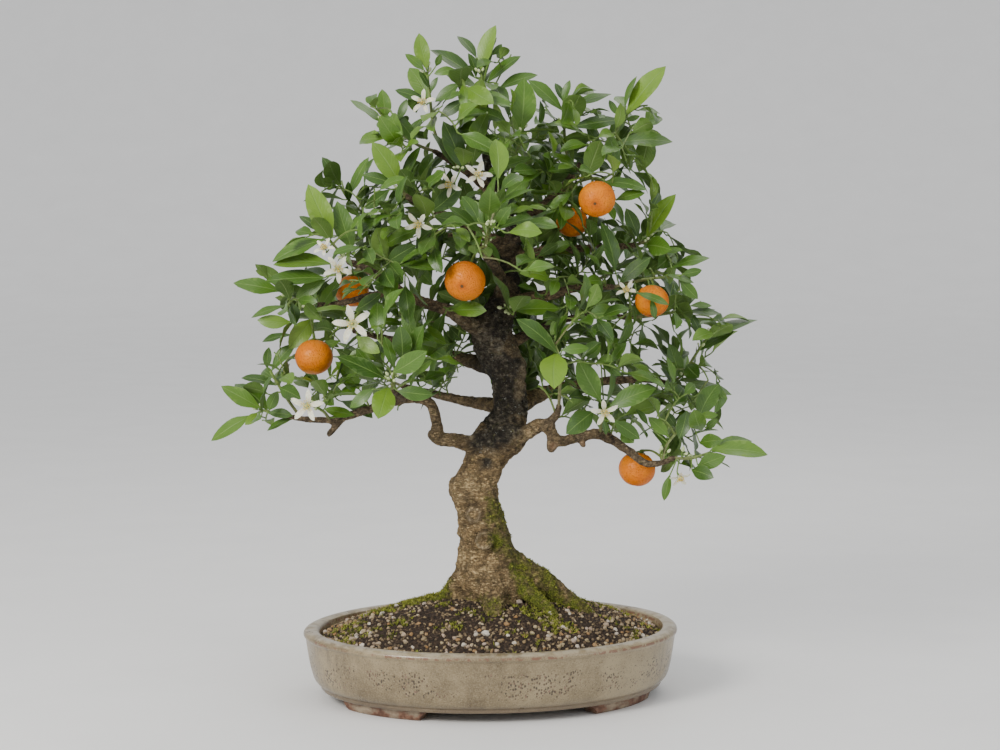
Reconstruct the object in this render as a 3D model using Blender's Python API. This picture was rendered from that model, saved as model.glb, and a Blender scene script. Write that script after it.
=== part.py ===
"""Citrus bonsai in an oval glazed pot: one grown trunk with its roots and branches, leafy sprays, blossom and
fruit, in a mound of gritty soil. Metres, +Z up. The origin lies under the middle of the pot, on the surface
that the pot stands on, and the pot's long side runs along X."""

import math
import random
from collections import namedtuple

import bmesh
import bpy
from mathutils import Matrix, Vector
from mathutils.bvhtree import BVHTree

MM = 0.001
UP = Vector((0, 0, 1))

# Driving dimensions of the pot
POT_HALF_LENGTH = 0.150
POT_ROUNDNESS = 0.78  # its depth over its length
POT_STEPS = 32
FOOT_HEIGHT = 0.008
RIM_HEIGHT = 0.0557
FLOOR_TOP = 0.0165
DRAIN_RADIUS = 0.009
DRAIN_REACH = 0.062  # from the middle to each drain hole
FOOT_MIDDLES = (41, 139, 221, 319)  # degrees round the oval from +X
FOOT_SPAN = 40
FOOT_SLANT = 3
FOOT_OUTSIDE = 0.0185
FOOT_INSIDE = 0.033

# The wall's outside from the base up, its lip and its inside down to the floor: each ring's distance inside the
# pot's widest line, and its height
POT_OUTSIDE = [(0.0165, FOOT_HEIGHT), (0.0115, 0.0105), (0.0078, 0.0165), (0.0048, 0.028), (0.0022, 0.0442)]
POT_LIP = [(0.0004, 0.0458), (0, 0.0495), (0.0006, 0.0535), (0.0026, RIM_HEIGHT), (0.0095, RIM_HEIGHT),
           (0.0118, 0.0542)]
POT_INSIDE = [(0.0128, 0.0505), (0.0172, 0.024), (0.0215, FLOOR_TOP)]

# The screens over the drain holes
MESH_SIDE = 0.031
MESH_THICKNESS = 0.0012
MESH_CELLS = 2
MESH_WIRE = 0.0022

# Driving dimensions of the soil and of the gap between neighbours
GAP = 0.00035
CAP_WELD = 0.00001  # how near points must be to weld where a curve meets its caps
WELD_TRIES = (0.000002, 0.000006, 0.00002, 0.0000005)  # the same after a Boolean, one after the other
KEPT_VOLUME = 0.98  # the least share of its volume that a piece keeps in a Boolean
SHIFT_TRIES = 12
SMALL_SHIFT = 0.00005
FLAT_AREA = 1e-13  # in square metres, what counts as no area at all
SOIL_EDGE = 0.0490
SOIL_TOP = 0.080
SOIL_ROUGHNESS = 0.0024
SOIL_WALL_GAP = 0.00045
SOIL_SIDE = [(0.0134, SOIL_EDGE), (0.0172, 0.024), (0.0215, FLOOR_TOP + GAP)]
SOIL_RINGS = (0.9, 0.68, 0.42, 0.1)
TRUNK_SIDES = 12
THICK_LIMB = 0.0061  # from this radius a limb has six sides, and a thinner one four
LOBE_DEPTH = (0.035, 0.07)  # of the trunk, over its radius, all over and added at its foot
LOBE_FOOT = 3  # over this many parts of the trunk's height the added lobes die out
HOLE_ENDS = 1.5  # how many times the growth the roots' hole reaches past their ends
HOLE_SIDES = 1.15  # and past the sides of their six-sided sections

# Driving dimensions of leaves, petals and fruit
LEAF_THICKNESS = 0.0007
LEAF_SLIMNESS = 0.46  # width over length
LEAF_STATIONS = ((0.10, 0.13), (0.42, 0.50), (0.78, 0.34))  # along the blade, half width over width
SMALL_LEAF = 0.026  # a shorter one has the next stations
SMALL_STATIONS = ((0.10, 0.13), (0.52, 0.50))
PETIOLE = 0.0045
PETIOLE_SIZE = (0.0010, 0.0008)  # its width and its thickness
PETIOLE_SINK = 0.0002
PETIOLE_FREE = 0.0022  # past this length it keeps clear of its own spray's leaves
ROOT_SPACING = 0.0013  # between two leaves' roots on a twig
LAST_ROOT = 0.0012  # from a twig's end to its last leaf
FIRST_ROOT = 0.04  # the share of a twig that stays bare
ROOT_TRIES = 160
SEEN_ARCH = 0.05
SEEN_LEAD = 2  # millimetres that a seen leaf's base stands in front of its twig
SEEN_WIDEST = 0.5  # the greatest width over length that a seen leaf can have
SEEN_LONGEST = 0.042
SEEN_SLIMMEST = 0.414
SHIFT_AT_BASE = 0.4  # how much of a shift in depth its base takes
TWIG_BASE = 0.0014
TWIG_TIP = 0.0011
PETALS = 5
PETAL_LENGTH = 0.0125
PETAL_WIDTH = 0.0056
PETAL_STATIONS = ((0.0, 0.14), (0.6, 0.5))
PETAL_ROOT = 0.0012
PETAL_RISE = (0.25, 0.45)
PETAL_ARCH = 0.09
PETAL_LEAN = 0.2
STAMEN_HEIGHT = 0.0055
FLOWER_EYE = (0.0027, 0.0015)  # radius of the middle at its foot and its top
FLOWER_FOOT = 0.0012  # how far the middle reaches behind the petals
FLOWER_STALK = (0.0006, 0.0006, 0.0011)  # its radius at the twig, at the neck and under the flower
FRUIT_FLATNESS = 0.93
FRUIT_STEPS = (10, 7)
CALYX_RADII = (0.0027, 0.00135)
CALYX_HEIGHT = 0.0013
STALK_SUNK = 0.6  # how far up the calyx a fruit's stalk ends
STALK_RADIUS = 0.0009
FLOWER_NECK = 0.004  # how far a flower's stalk runs straight behind it
SEAT_STEP = 0.00005  # in which a twig's start moves out of its branch
SEAT_TRIES = 400
CROWN_REACH = 0.141  # the furthest that a leaf reaches in front of or behind the middle
LOWEST_LEAF = 0.165

# The front view that places in the crown are read in: a frame 1000 wide and 750 high, the eye that sees it and
# how far that eye stands round the pot. Depths are millimetres behind the trunk.
FRAME_CENTRE = (500, 375)
FOCAL = 2150.0
EYE = Vector((0.0065, -1.70, 0.402))
LOOK_DOWN = math.radians(4.9)
TURN = Matrix.Rotation(math.radians(-9.0), 3, "Z")

Leaf = namedtuple("Leaf", "root base tip normal width arch")
Taken = namedtuple("Taken", "owner is_leaf tree low high")

# Trunk and branches: places in the front view with their depth, each with its radius in millimetres.
TRUNK = [
    (491, 628, 0, 31), (491, 605, 0, 29), (491, 590, 0, 27), (490, 575, 0, 25), (489, 560, 0, 23.5),
    (488, 548, 0, 22), (486, 536, -1, 20.5), (483, 524, -2, 18.5), (480, 512, -3, 17.5), (477, 500, -3, 17.5),
    (477, 488, -3, 17.5), (479, 477, -2, 16.5), (484, 466, 0, 16), (488, 455, 2, 17), (493, 445, 3, 18.5),
    (501, 434, 4, 17.5), (507, 422, 5, 15.5), (510, 408, 6, 14), (510, 392, 6, 13.5), (508, 376, 6, 14),
    (503, 362, 5, 15.5), (496, 348, 3, 16.5), (492, 336, 2, 16.5), (494, 322, 2, 15), (501, 308, 4, 12.5),
    (507, 294, 6, 10.5), (509, 278, 7, 8.7), (508, 262, 7, 8), (511, 246, 6, 8), (514, 232, 4, 7),
    (507, 215, 3, 5.4), (499, 198, 2, 4.6), (491, 178, 0, 4), (486, 155, 0, 3.4), (484, 132, -1, 2.8),
    (484, 118, -1, 2.3),
]
ROOTS = {
    "right": [(498, 556, 0, 13), (528, 574, -2, 11), (551, 587, -6, 9.5), (570, 601, -10, 7.5),
              (590, 616, -16, 5), (608, 632, -20, 3)],
    "left": [(480, 562, 0, 13), (463, 580, -2, 10), (450, 596, -4, 7), (432, 608, -6, 4.5), (412, 622, -8, 3)],
    "front": [(489, 565, -6, 13), (492, 585, -24, 11), (494, 604, -38, 9), (492, 628, -52, 5)],
    "front_right": [(505, 575, -4, 11), (530, 594, -22, 7), (556, 616, -38, 3.5)],
    "back_left": [(485, 570, 6, 13), (462, 582, 30, 8), (438, 600, 50, 4)],
    "back_right": [(500, 570, 6, 13), (520, 578, 34, 8), (538, 594, 58, 4)],
}
BURLS = {
    "swelling": (464, 489, -3, 13.5),
    "old_cut": (486, 541, -17, 6.5),
    "lower_lump": (470, 515, -9, 11),
    "branch_collar": (505, 440, -8, 15),
    "upper_lump": (516, 366, 4, 9),
}
LIMBS = {
    "left_low": [(487, 447, 0, 7), (468, 443, -4, 6.5), (452, 440, -10, 5.6), (437, 438, -15, 5.6),
                 (437, 425, -17, 4.9), (430, 403, -20, 4.6), (412, 398, -24, 4.3), (392, 402, -30, 4),
                 (370, 409, -33, 3.6), (347, 416, -34, 3.3), (328, 420, -32, 2.9), (305, 419, -28, 2.5),
                 (286, 416, -25, 2.1)],
    "left_low_knob": [(440, 438, -15, 4.5), (431, 435, -14, 3.6)],
    "left_low_stub": [(343, 418, -33, 2.8), (329, 434, -34, 2.4)],
    "left_front": [(404, 399, -26, 3.4), (398, 394, -50, 2.8), (392, 390, -72, 2.2)],
    "right_low": [(497, 450, 0, 8.5), (513, 443, -6, 7.5), (527, 432, -12, 6.6), (541, 425, -18, 6),
                  (550, 429, -22, 5.4), (554, 439, -26, 5), (564, 441, -30, 4.7), (578, 437, -34, 4.5),
                  (597, 434, -38, 4.3), (614, 441, -42, 4), (630, 452, -46, 3.6), (645, 463, -48, 3.1),
                  (660, 463, -46, 2.6), (674, 458, -42, 2.2)],
    "right_low_knob": [(553, 436, -26, 4.6), (551, 448, -28, 4.2)],
    "right_low_stub": [(580, 438, -36, 2.8), (583, 445, -40, 2.5)],
    "right_low_rise": [(545, 426, -20, 4), (556, 415, -30, 3.2), (559, 406, -40, 2.5)],
    "right_back": [(512, 408, 8, 8.5), (535, 397, 30, 6.6), (556, 389, 46, 5.5), (588, 383, 56, 4.4),
                   (622, 380, 56, 3.5), (650, 380, 50, 2.8), (668, 383, 44, 2.3)],
    "back_low": [(510, 398, 6, 8), (519, 394, 36, 5.8), (528, 386, 66, 4.4), (534, 378, 88, 3)],
    "left_back": [(508, 406, 10, 7.5), (484, 404, 32, 5.6), (456, 399, 52, 4.4), (426, 392, 68, 3.4),
                  (402, 386, 76, 2.5)],
    "left_mid_back": [(497, 368, 6, 8), (470, 361, 30, 5.8), (440, 352, 48, 4.7), (410, 344, 58, 3.8),
                      (380, 337, 64, 3), (354, 331, 64, 2.3)],
    "bare_right": [(505, 346, 4, 6), (522, 337, 14, 4.4), (540, 328, 24, 3.6), (568, 319, 32, 3),
                   (600, 314, 34, 2.6), (628, 318, 30, 2.1)],
    "left_mid": [(490, 334, -2, 8), (468, 323, -16, 6.2), (450, 311, -28, 5.4), (428, 304, -36, 4.7),
                 (405, 294, -40, 4.3), (384, 280, -40, 3.8), (364, 268, -38, 3.3), (349, 262, -36, 2.7)],
    "left_far": [(398, 290, -40, 3.4), (370, 296, -32, 3), (340, 303, -24, 2.6), (312, 305, -18, 2.1)],
    "right_mid": [(501, 308, 2, 8), (522, 300, -5, 5.4), (545, 297, -8, 4.6), (572, 289, -12, 3.8),
                  (596, 287, -14, 3), (613, 287, -14, 2.4)],
    "back_mid": [(494, 330, 4, 8), (500, 320, 36, 5.4), (505, 309, 64, 4.2), (508, 300, 84, 3)],
    "back_mid_right": [(503, 304, 6, 6.5), (534, 297, 32, 4.8), (570, 288, 56, 3.7), (596, 280, 68, 2.7)],
    "front_mid": [(506, 290, 4, 6.5), (497, 270, -28, 4.2), (485, 257, -56, 2.5)],
    "upper_left": [(511, 250, 4, 6.5), (490, 238, -14, 4.8), (465, 225, -26, 4.1), (440, 213, -33, 3.5),
                   (418, 204, -36, 3), (406, 196, -37, 2.4)],
    "upper_left_back": [(509, 266, 8, 6), (480, 247, 24, 4.5), (440, 234, 34, 3.6), (404, 230, 34, 2.9),
                        (384, 228, 32, 2.3)],
    "upper_right": [(510, 262, 6, 6), (540, 252, 8, 4.7), (575, 249, 8, 3.8), (610, 247, 4, 3.1),
                    (636, 245, 2, 2.4)],
    "back_upper": [(512, 246, 6, 6), (517, 238, 34, 4.3), (521, 228, 56, 3)],
    "leader_right": [(514, 236, 4, 6.4), (530, 218, 6, 5.7), (547, 204, 8, 4.9), (562, 190, 8, 4.1),
                     (574, 173, 8, 3.4), (583, 161, 7, 2.6)],
    "top_left": [(501, 202, 2, 4.4), (472, 176, -4, 3.3), (450, 161, -6, 2.8), (434, 151, -7, 2.3)],
}

# Leafy sprays. Each has its green twig, from the branch outwards, then the large leaves seen from the front, as
# base, tip and seen width, with two depths where a leaf passes something, and how many leaves the rule adds.
SPRAYS = {
    "apex": ([(484, 117, -1), (483, 97, -3), (481, 72, -6)],
             [(481, 68, 496, 25, 16), (476, 57, 457, 36, 9), (487, 83, 521, 56, 10),
              (476, 77, 468, 53, 8), (474, 77, 430, 50, 13), (478, 87, 446, 75, 8), (498, 90, 538, 75, 10)], 1),
    "apex_side": ([(483, 128, -1), (470, 108, -14), (459, 86, -22), (456, 72, -26)],
                  [(456, 70, 434, 74, 9), (460, 83, 435, 102, 11), (466, 100, 440, 117, 12)], 2),
    "apex_left": ([(446, 158, -6), (434, 130, -14), (430, 98, -16), (427, 72, -16)],
                  [(427, 68, 419, 33, 16), (424, 70, 405, 54, 9), (421, 98, 395, 90, 10)], 2),
    "top_left": ([(434, 151, -7), (418, 145, -10), (400, 133, -14), (386, 122, -18)],
                 [(383, 123, 350, 100, 9), (385, 119, 382, 89, 15), (398, 120, 407, 99, 9),
                  (407, 137, 423, 118, 8)], 2),
    "upper_front": ([(486, 150, 0), (503, 140, -16), (520, 133, -28)],
                    [(521, 129, 524, 78, 26), (531, 158, 486, 175, 12)], 2),
    "upper_right": ([(572, 176, 8), (566, 150, 2), (564, 126, -4), (563, 105, -8)],
                    [(562, 110, 528, 80, 13), (563, 101, 570, 80, 8), (563, 101, 555, 83, 8),
                     (570, 107, 612, 94, 9), (567, 155, 611, 168, 12)], 2),
    "top_right": ([(583, 161, 7), (600, 150, 4), (609, 142, 2), (618, 128, 0), (625, 116, -2)],
                  [(621, 120, 573, 127, 13), (627, 114, 666, 66, 19), (615, 144, 673, 142, 14),
                   (599, 151, 586, 125, 9)], 1),
    "fruit_right": ([(557, 195, 8), (576, 183, -12), (597, 178, -26), (612, 186, -34)],
                    [(604, 182, 647, 190, 12), (616, 200, 645, 193, 10)], 3),
    "right_upper": ([(636, 245, 2), (648, 241, -2), (661, 246, -6), (671, 262, -8)],
                    [(647, 237, 676, 194, 17), (638, 237, 626, 208, 14), (647, 245, 672, 250, 20),
                     (672, 268, 710, 258, 9)], 2),
    "right_mid": ([(613, 287, -14), (632, 282, -16), (655, 278, -20), (680, 276, -22)],
                  [(615, 270, 601, 222, 16), (620, 283, 651, 257, 15), (683, 274, 702, 270, 9),
                   (680, 280, 698, 299, 12)], 1),
    "right_outer": ([(628, 318, 30), (650, 316, 26), (670, 313, 20), (688, 309, 14)],
                    [(687, 312, 721, 314, 8), (689, 312, 701, 334, 9)], 3),
    "far_right": ([(668, 383, 44), (682, 376, 34), (691, 362, 26), (700, 348, 20), (708, 337, 14)],
                  [(709, 339, 758, 320, 12, 16, 44), (701, 350, 734, 331, 11), (687, 365, 699, 378, 17),
                   (681, 378, 669, 343, 15), (687, 384, 732, 395, 11)], 1),
    "right_low": ([(674, 458, -42), (692, 458, -44), (711, 452, -44)],
                  [(711, 450, 768, 455, 17), (698, 466, 726, 456, 16), (692, 470, 714, 478, 15),
                   (670, 475, 664, 501, 9)], 2),
    "right_low_rise": ([(661, 463, -46), (668, 443, -38), (683, 427, -32), (702, 420, -28)],
                       [(700, 443, 723, 440, 15), (706, 428, 717, 419, 8), (700, 415, 718, 415, 8),
                        (702, 430, 694, 409, 18), (687, 411, 679, 439, 15), (676, 427, 665, 412, 9),
                        (668, 436, 648, 417, 12)], 1),
    "right_low_bloom": ([(600, 435, -38), (603, 420, -50), (605, 408, -58)],
                        [(600, 400, 578, 359, 22), (610, 407, 656, 388, 20), (593, 412, 566, 434, 21),
                         (614, 421, 640, 439, 14), (621, 432, 634, 443, 14)], 1),
    "right_bright": ([(559, 406, -40), (560, 384, -56), (560, 366, -70), (559, 354, -80)],
                     [(556, 352, 516, 319, 16), (556, 354, 554, 389, 28), (562, 350, 589, 348, 11)], 1),
    "centre_right": ([(503, 304, 0), (509, 311, -18), (513, 314, -30)],
                     [(511, 310, 560, 309, 15)], 2),
    "left_top": ([(384, 228, 32), (366, 215, 22), (351, 203, 12), (340, 186, 4)],
                 [(350, 194, 369, 157, 10), (339, 185, 322, 157, 13), (349, 202, 348, 181, 8)], 3),
    "upper_left": ([(406, 196, -37), (400, 187, -41), (395, 178, -44)],
                   [(399, 183, 372, 142, 22), (402, 183, 421, 146, 10), (392, 183, 362, 175, 12),
                    (389, 190, 365, 209, 13)], 1),
    "left_mid": ([(349, 262, -36), (338, 250, -42), (328, 238, -46)],
                 [(332, 237, 308, 184, 24), (352, 249, 337, 201, 21), (323, 233, 299, 216, 9),
                  (324, 240, 272, 262, 14)], 1),
    "left_mid_side": ([(364, 268, -38), (344, 273, -44), (326, 276, -46)],
                      [(330, 264, 273, 265, 15), (324, 278, 265, 281, 16), (325, 280, 296, 298, 14)], 1),
    "left_far": ([(312, 305, -18), (297, 300, -18), (282, 292, -18)],
                 [(280, 291, 233, 283, 15), (290, 322, 257, 320, 14), (313, 319, 289, 349, 20)], 1),
    "left_bloom": ([(372, 295, -33), (364, 306, -46), (357, 315, -56)],
                   [(356, 310, 381, 293, 14), (357, 337, 380, 353, 15), (376, 322, 404, 325, 8)], 1),
    "left_low": ([(286, 416, -25), (272, 413, -24), (259, 409, -24)],
                 [(260, 408, 221, 386, 16), (250, 416, 211, 441, 14), (257, 413, 245, 425, 9),
                  (269, 410, 278, 391, 12), (268, 413, 293, 416, 10)], 1),
    "left_low_rise": ([(302, 419, -28), (288, 400, -16), (278, 384, -10), (270, 370, -6)],
                      [(267, 368, 269, 347, 9), (272, 370, 296, 344, 12), (275, 385, 241, 378, 10),
                       (280, 388, 301, 399, 16)], 2),
    "left_low_bloom": ([(330, 420, -32), (324, 412, -46), (318, 408, -54)],
                       [(354, 415, 324, 409, 11)], 2),
    "left_front": ([(392, 390, -72), (393, 380, -82), (395, 368, -90)],
                   [(384, 378, 336, 356, 16), (373, 389, 350, 408, 12), (388, 388, 378, 419, 24),
                    (394, 368, 384, 336, 11), (402, 358, 400, 325, 20), (394, 372, 427, 351, 20),
                    (398, 391, 433, 395, 15)], 1),
    "upper_left_front": ([(440, 213, -33), (432, 218, -48), (426, 222, -58)],
                         [(431, 212, 462, 186, 18), (434, 216, 469, 221, 16), (420, 229, 380, 248, 14)], 1),
    "front_mid": ([(485, 257, -56), (486, 244, -76), (488, 234, -94), (490, 226, -114)],
                  [(488, 215, 490, 187, 22), (494, 230, 534, 218, 9)], 5),
    "left_mid_front": ([(384, 280, -40), (386, 270, -54), (390, 262, -66)],
                       [(387, 262, 416, 245, 16)], 3),
    "upper_bloom": ([(491, 174, 0), (474, 169, -22), (461, 168, -36)],
                    [(464, 171, 443, 121, 20), (455, 168, 432, 133, 9)], 2),
    "back_low": ([(534, 378, 88), (540, 369, 108), (545, 356, 126)], [], 7),
    "back_low_left": ([(402, 386, 76), (388, 380, 92), (372, 372, 104)], [], 7),
    "back_left": ([(354, 331, 64), (338, 325, 74), (322, 316, 80)], [], 7),
    "back_mid": ([(508, 300, 84), (511, 288, 104), (514, 272, 122)], [], 7),
    "back_right": ([(596, 280, 68), (612, 272, 84), (626, 260, 96)], [], 7),
    "back_upper": ([(521, 228, 56), (524, 212, 74), (526, 192, 86)], [], 7),
}

# Fruit: its spray, the middle with its depth, its radius in the front view, the way its stem points (to the
# right, back and up) and the route of the stem from the twig.
FRUIT = {
    "upper_right": ("fruit_right", (597, 199, -50), 18.5, (-0.2, 0.75, 0.6),
                    [(594, 180, -25), (592, 184, -30)]),
    "middle": ("front_mid", (465, 281, -62), 20.5, (0.2, 0.75, 0.6),
               [(487, 244, -70), (475, 254, -60)]),
    "right": ("right_mid", (652, 301, -30), 17, (0.1, 0.35, 0.93), [(650, 279, -19), (652, 281, -21)]),
    "left": ("left_far", (314, 357, -30), 19, (0, 0.2, 0.98), [(308, 304, -18), (311, 320, -24)]),
    "lower_right": ("right_low_rise", (637, 469, -25), 18.5, (0.2, 0.1, 0.97),
                    [(662, 458, -44), (652, 451, -34)]),
    "behind_right": ("fruit_right", (572, 222, 4), 16, (0, 0, 1), [(571, 186, -5), (572, 195, 2)]),
    "behind_left": ("left_mid_side", (352, 291, -6), 17, (0, 0, 1), [(354, 270, -40), (353, 271, -24)]),
}

# Blossom: its spray, its middle with its depth, the way it faces (to the right, back and up) and its size.
BLOSSOM = {
    "top_left": ("apex_left", (424, 103, -26), (-0.3, -0.9, 0.2), 0.9),
    "upper_right": ("upper_bloom", (477, 176, -46), (0.25, -0.9, 0.3), 1.0),
    "upper_left": ("upper_bloom", (451, 184, -48), (-0.4, -0.85, -0.1), 0.9),
    "centre": ("upper_left_front", (419, 223, -70), (-0.2, -0.9, -0.3), 0.95),
    "left_high": ("left_mid", (325, 249, -62), (-0.2, -0.8, 0.5), 0.75),
    "left_mid": ("left_mid_side", (338, 269, -64), (0.1, -1, 0.05), 1.0),
    "left_large": ("left_bloom", (353, 324, -72), (-0.05, -1, 0.1), 1.3),
    "left_low": ("left_low_bloom", (308, 406, -68), (-0.15, -0.95, 0.1), 1.15),
    "right_low": ("right_low_bloom", (604, 411, -74), (0.1, -0.95, -0.2), 0.95),
    "right_mid": ("right_mid", (627, 291, -32), (-0.2, -0.9, 0.4), 0.75),
    "right_end": ("right_low", (679, 476, -56), (0.2, -0.7, -0.6), 0.75),
}

# The crown's edge and the open places in it, in the front view: each place with its radius and the depth in
# front of which it stays open.
CROWN_EDGE = [
    (496, 25), (530, 52), (575, 78), (615, 90), (668, 64), (674, 142), (650, 165), (680, 192), (682, 245),
    (712, 256), (706, 290), (760, 318), (722, 355), (735, 388), (722, 412), (770, 450), (722, 478),
    (664, 503), (640, 446), (590, 442), (558, 432), (530, 412), (440, 412), (390, 424), (300, 432),
    (210, 445), (238, 415), (218, 384), (238, 372), (262, 345), (248, 318), (230, 284), (265, 255),
    (300, 212), (305, 182), (322, 154), (360, 168), (348, 99), (385, 84), (402, 96), (402, 50), (418, 30),
    (440, 48), (470, 40),
]
OPEN_PLACES = [
    (508, 400, 30, 0), (506, 366, 28, 0), (497, 338, 24, 0), (470, 400, 26, 60), (455, 428, 20, 90),
    (540, 412, 18, 60), (478, 362, 16, 20), (506, 245, 12, 0), (508, 275, 14, 0),
]

# What stays in plain view: each fruit and blossom, as a place and its radius in the front view
SHOWN_PLACES = [(spot[0], spot[1], radius + 7) for _, spot, radius, _, _ in FRUIT.values()]
SHOWN_PLACES += [(spot[0], spot[1], 17 * size) for _, spot, _, size in BLOSSOM.values()]

# How the rule sets its own leaves on a twig
GOLDEN_TURN = math.radians(137.5)
RULE_TRIES = 16
RULE_LENGTH = (0.030, 0.040)
RULE_SPREAD = (0.6, 1.25)
RULE_ARCH = (0.04, 0.11)
RULE_SLIMNESS = (0.92, 1.12)
RULE_SHARE = 0.78  # of the twig, from its end, that bears leaves
RULE_TURN = 3.1  # the most that a leaf turns off the spiral, in radians
RULE_TILT = 0.35
RULE_RISE = 0.22
RULE_OUTWARDS = 0.45  # how far the blades face away from the trunk
END_SPREAD = 0.55  # of the spread, for the leaf that ends the twig
CLEARANCE = 0.00045
DEPTH_SHIFTS = (0, -5, 5, -10, 10, -16, 16)


def place(px, py, depth=0.0):
    """The point of the object at a place in the front view, so many millimetres behind the trunk."""
    across = (px - FRAME_CENTRE[0]) / FOCAL
    up = (FRAME_CENTRE[1] - py) / FOCAL
    ray = Vector((across, math.cos(LOOK_DOWN) + up * math.sin(LOOK_DOWN),
                  up * math.cos(LOOK_DOWN) - math.sin(LOOK_DOWN)))
    return TURN @ (EYE + ray * ((depth * MM - EYE.y) / ray.y))


def seen(point):
    """Where a point of the object lies in the front view, and its depth in millimetres."""
    turned = TURN.transposed() @ point
    ray = turned - EYE
    far = ray.y * math.cos(LOOK_DOWN) - ray.z * math.sin(LOOK_DOWN)
    up = ray.y * math.sin(LOOK_DOWN) + ray.z * math.cos(LOOK_DOWN)
    return FRAME_CENTRE[0] + FOCAL * ray.x / far, FRAME_CENTRE[1] - FOCAL * up / far, turned.y / MM


def clear_scene():
    for thing in list(bpy.data.objects):
        bpy.data.objects.remove(thing)


def collection(name):
    made = bpy.data.collections.new(name)
    bpy.context.scene.collection.children.link(made)
    return made


def material(name, colour, roughness):
    made = bpy.data.materials.new(name)
    made.use_nodes = True
    surface = made.node_tree.nodes["Principled BSDF"]
    surface.inputs["Base Color"].default_value = (*colour, 1)
    surface.inputs["Roughness"].default_value = roughness
    surface.inputs["Metallic"].default_value = 0
    made.diffuse_color = (*colour, 1)
    return made


def mesh_piece(name, points, faces):
    """A new object in the workshop collection, closed and with its faces pointing out."""
    mesh = bpy.data.meshes.new(name)
    mesh.from_pydata([tuple(p) for p in points], [], faces)
    tidy = bmesh.new()
    tidy.from_mesh(mesh)
    bmesh.ops.recalc_face_normals(tidy, faces=tidy.faces)
    tidy.to_mesh(mesh)
    tidy.free()
    piece = bpy.data.objects.new(name, mesh)
    bpy.data.collections["workshop"].objects.link(piece)
    return piece


def loft(name, rings):
    """A closed skin over rings that have equally many points, with a fan or a flat face on each end."""
    count = len(rings[0])
    points = [p for ring in rings for p in ring]
    faces = [tuple(range(count)), tuple(range(len(points) - count, len(points)))]
    for i in range(len(rings) - 1):
        for j in range(count):
            k = (j + 1) % count
            faces.append((i * count + j, i * count + k, (i + 1) * count + k, (i + 1) * count + j))
    return mesh_piece(name, points, faces)


def rod(name, points, radii, resolution=0):
    """A tapering stem: a bevelled curve with filled caps, made a mesh and welded."""
    curve = bpy.data.curves.new(name, "CURVE")
    curve.dimensions = "3D"
    curve.bevel_depth = MM
    curve.bevel_resolution = resolution
    curve.use_fill_caps = True
    spline = curve.splines.new("POLY")
    spline.points.add(len(points) - 1)
    for knot, point, radius in zip(spline.points, points, radii):
        knot.co = (*point, 1)
        knot.radius = radius / MM
    drawn = bpy.data.objects.new(name, curve)
    bpy.data.collections["workshop"].objects.link(drawn)
    graph = bpy.context.evaluated_depsgraph_get()
    mesh = bpy.data.meshes.new_from_object(drawn.evaluated_get(graph))
    welded = bmesh.new()
    welded.from_mesh(mesh)
    bmesh.ops.remove_doubles(welded, verts=welded.verts, dist=CAP_WELD)
    bmesh.ops.recalc_face_normals(welded, faces=welded.faces)
    welded.to_mesh(mesh)
    welded.free()
    bpy.data.objects.remove(drawn)
    piece = bpy.data.objects.new(name, mesh)
    bpy.data.collections["workshop"].objects.link(piece)
    return piece


def ball(name, centre, radius, fineness=1):
    mesh = bpy.data.meshes.new(name)
    shape = bmesh.new()
    bmesh.ops.create_icosphere(shape, subdivisions=fineness, radius=radius, matrix=Matrix.Translation(centre))
    shape.to_mesh(mesh)
    shape.free()
    piece = bpy.data.objects.new(name, mesh)
    bpy.data.collections["workshop"].objects.link(piece)
    return piece


def cylinder(name, bottom, height, radius, steps=16):
    """An upright round cutter."""
    mesh = bpy.data.meshes.new(name)
    shape = bmesh.new()
    bmesh.ops.create_cone(shape, cap_ends=True, segments=steps, radius1=radius, radius2=radius, depth=height,
                          matrix=Matrix.Translation(Vector(bottom) + UP * height / 2))
    shape.to_mesh(mesh)
    shape.free()
    piece = bpy.data.objects.new(name, mesh)
    bpy.data.collections["workshop"].objects.link(piece)
    return piece


def box(name, low, high):
    mesh = bpy.data.meshes.new(name)
    shape = bmesh.new()
    size = Vector(high) - Vector(low)
    middle = (Vector(high) + Vector(low)) / 2
    bmesh.ops.create_cube(shape, size=1, matrix=Matrix.Translation(middle) @ Matrix.Diagonal((*size, 1)))
    shape.to_mesh(mesh)
    shape.free()
    piece = bpy.data.objects.new(name, mesh)
    bpy.data.collections["workshop"].objects.link(piece)
    return piece


def islands(shape):
    """The separate bodies of a bmesh, each a list of its faces, the largest first."""
    left = set(shape.faces)
    found = []
    while left:
        stack = [left.pop()]
        body = list(stack)
        while stack:
            for edge in stack.pop().edges:
                for face in edge.link_faces:
                    if face in left:
                        left.remove(face)
                        stack.append(face)
                        body.append(face)
        found.append(body)
    return sorted(found, key=lambda body: sum(face.calc_area() for face in body), reverse=True)


def volume_of(mesh):
    shape = bmesh.new()
    shape.from_mesh(mesh)
    volume = shape.calc_volume(signed=True)
    shape.free()
    return volume


def is_closed(shape):
    return all(len(edge.link_faces) == 2 for edge in shape.edges)


def combine(base, others, operation, solver):
    """The mesh that a Boolean of base with the collection of others gives."""
    group = bpy.data.collections.new("operands")
    for other in others:
        group.objects.link(other)
    change = base.modifiers.new("Combine", "BOOLEAN")
    change.operation = operation
    change.operand_type = "COLLECTION"
    change.collection = group
    change.solver = solver
    graph = bpy.context.evaluated_depsgraph_get()
    mesh = bpy.data.meshes.new_from_object(base.evaluated_get(graph))
    base.modifiers.remove(change)
    bpy.data.collections.remove(group)
    return mesh


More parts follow.
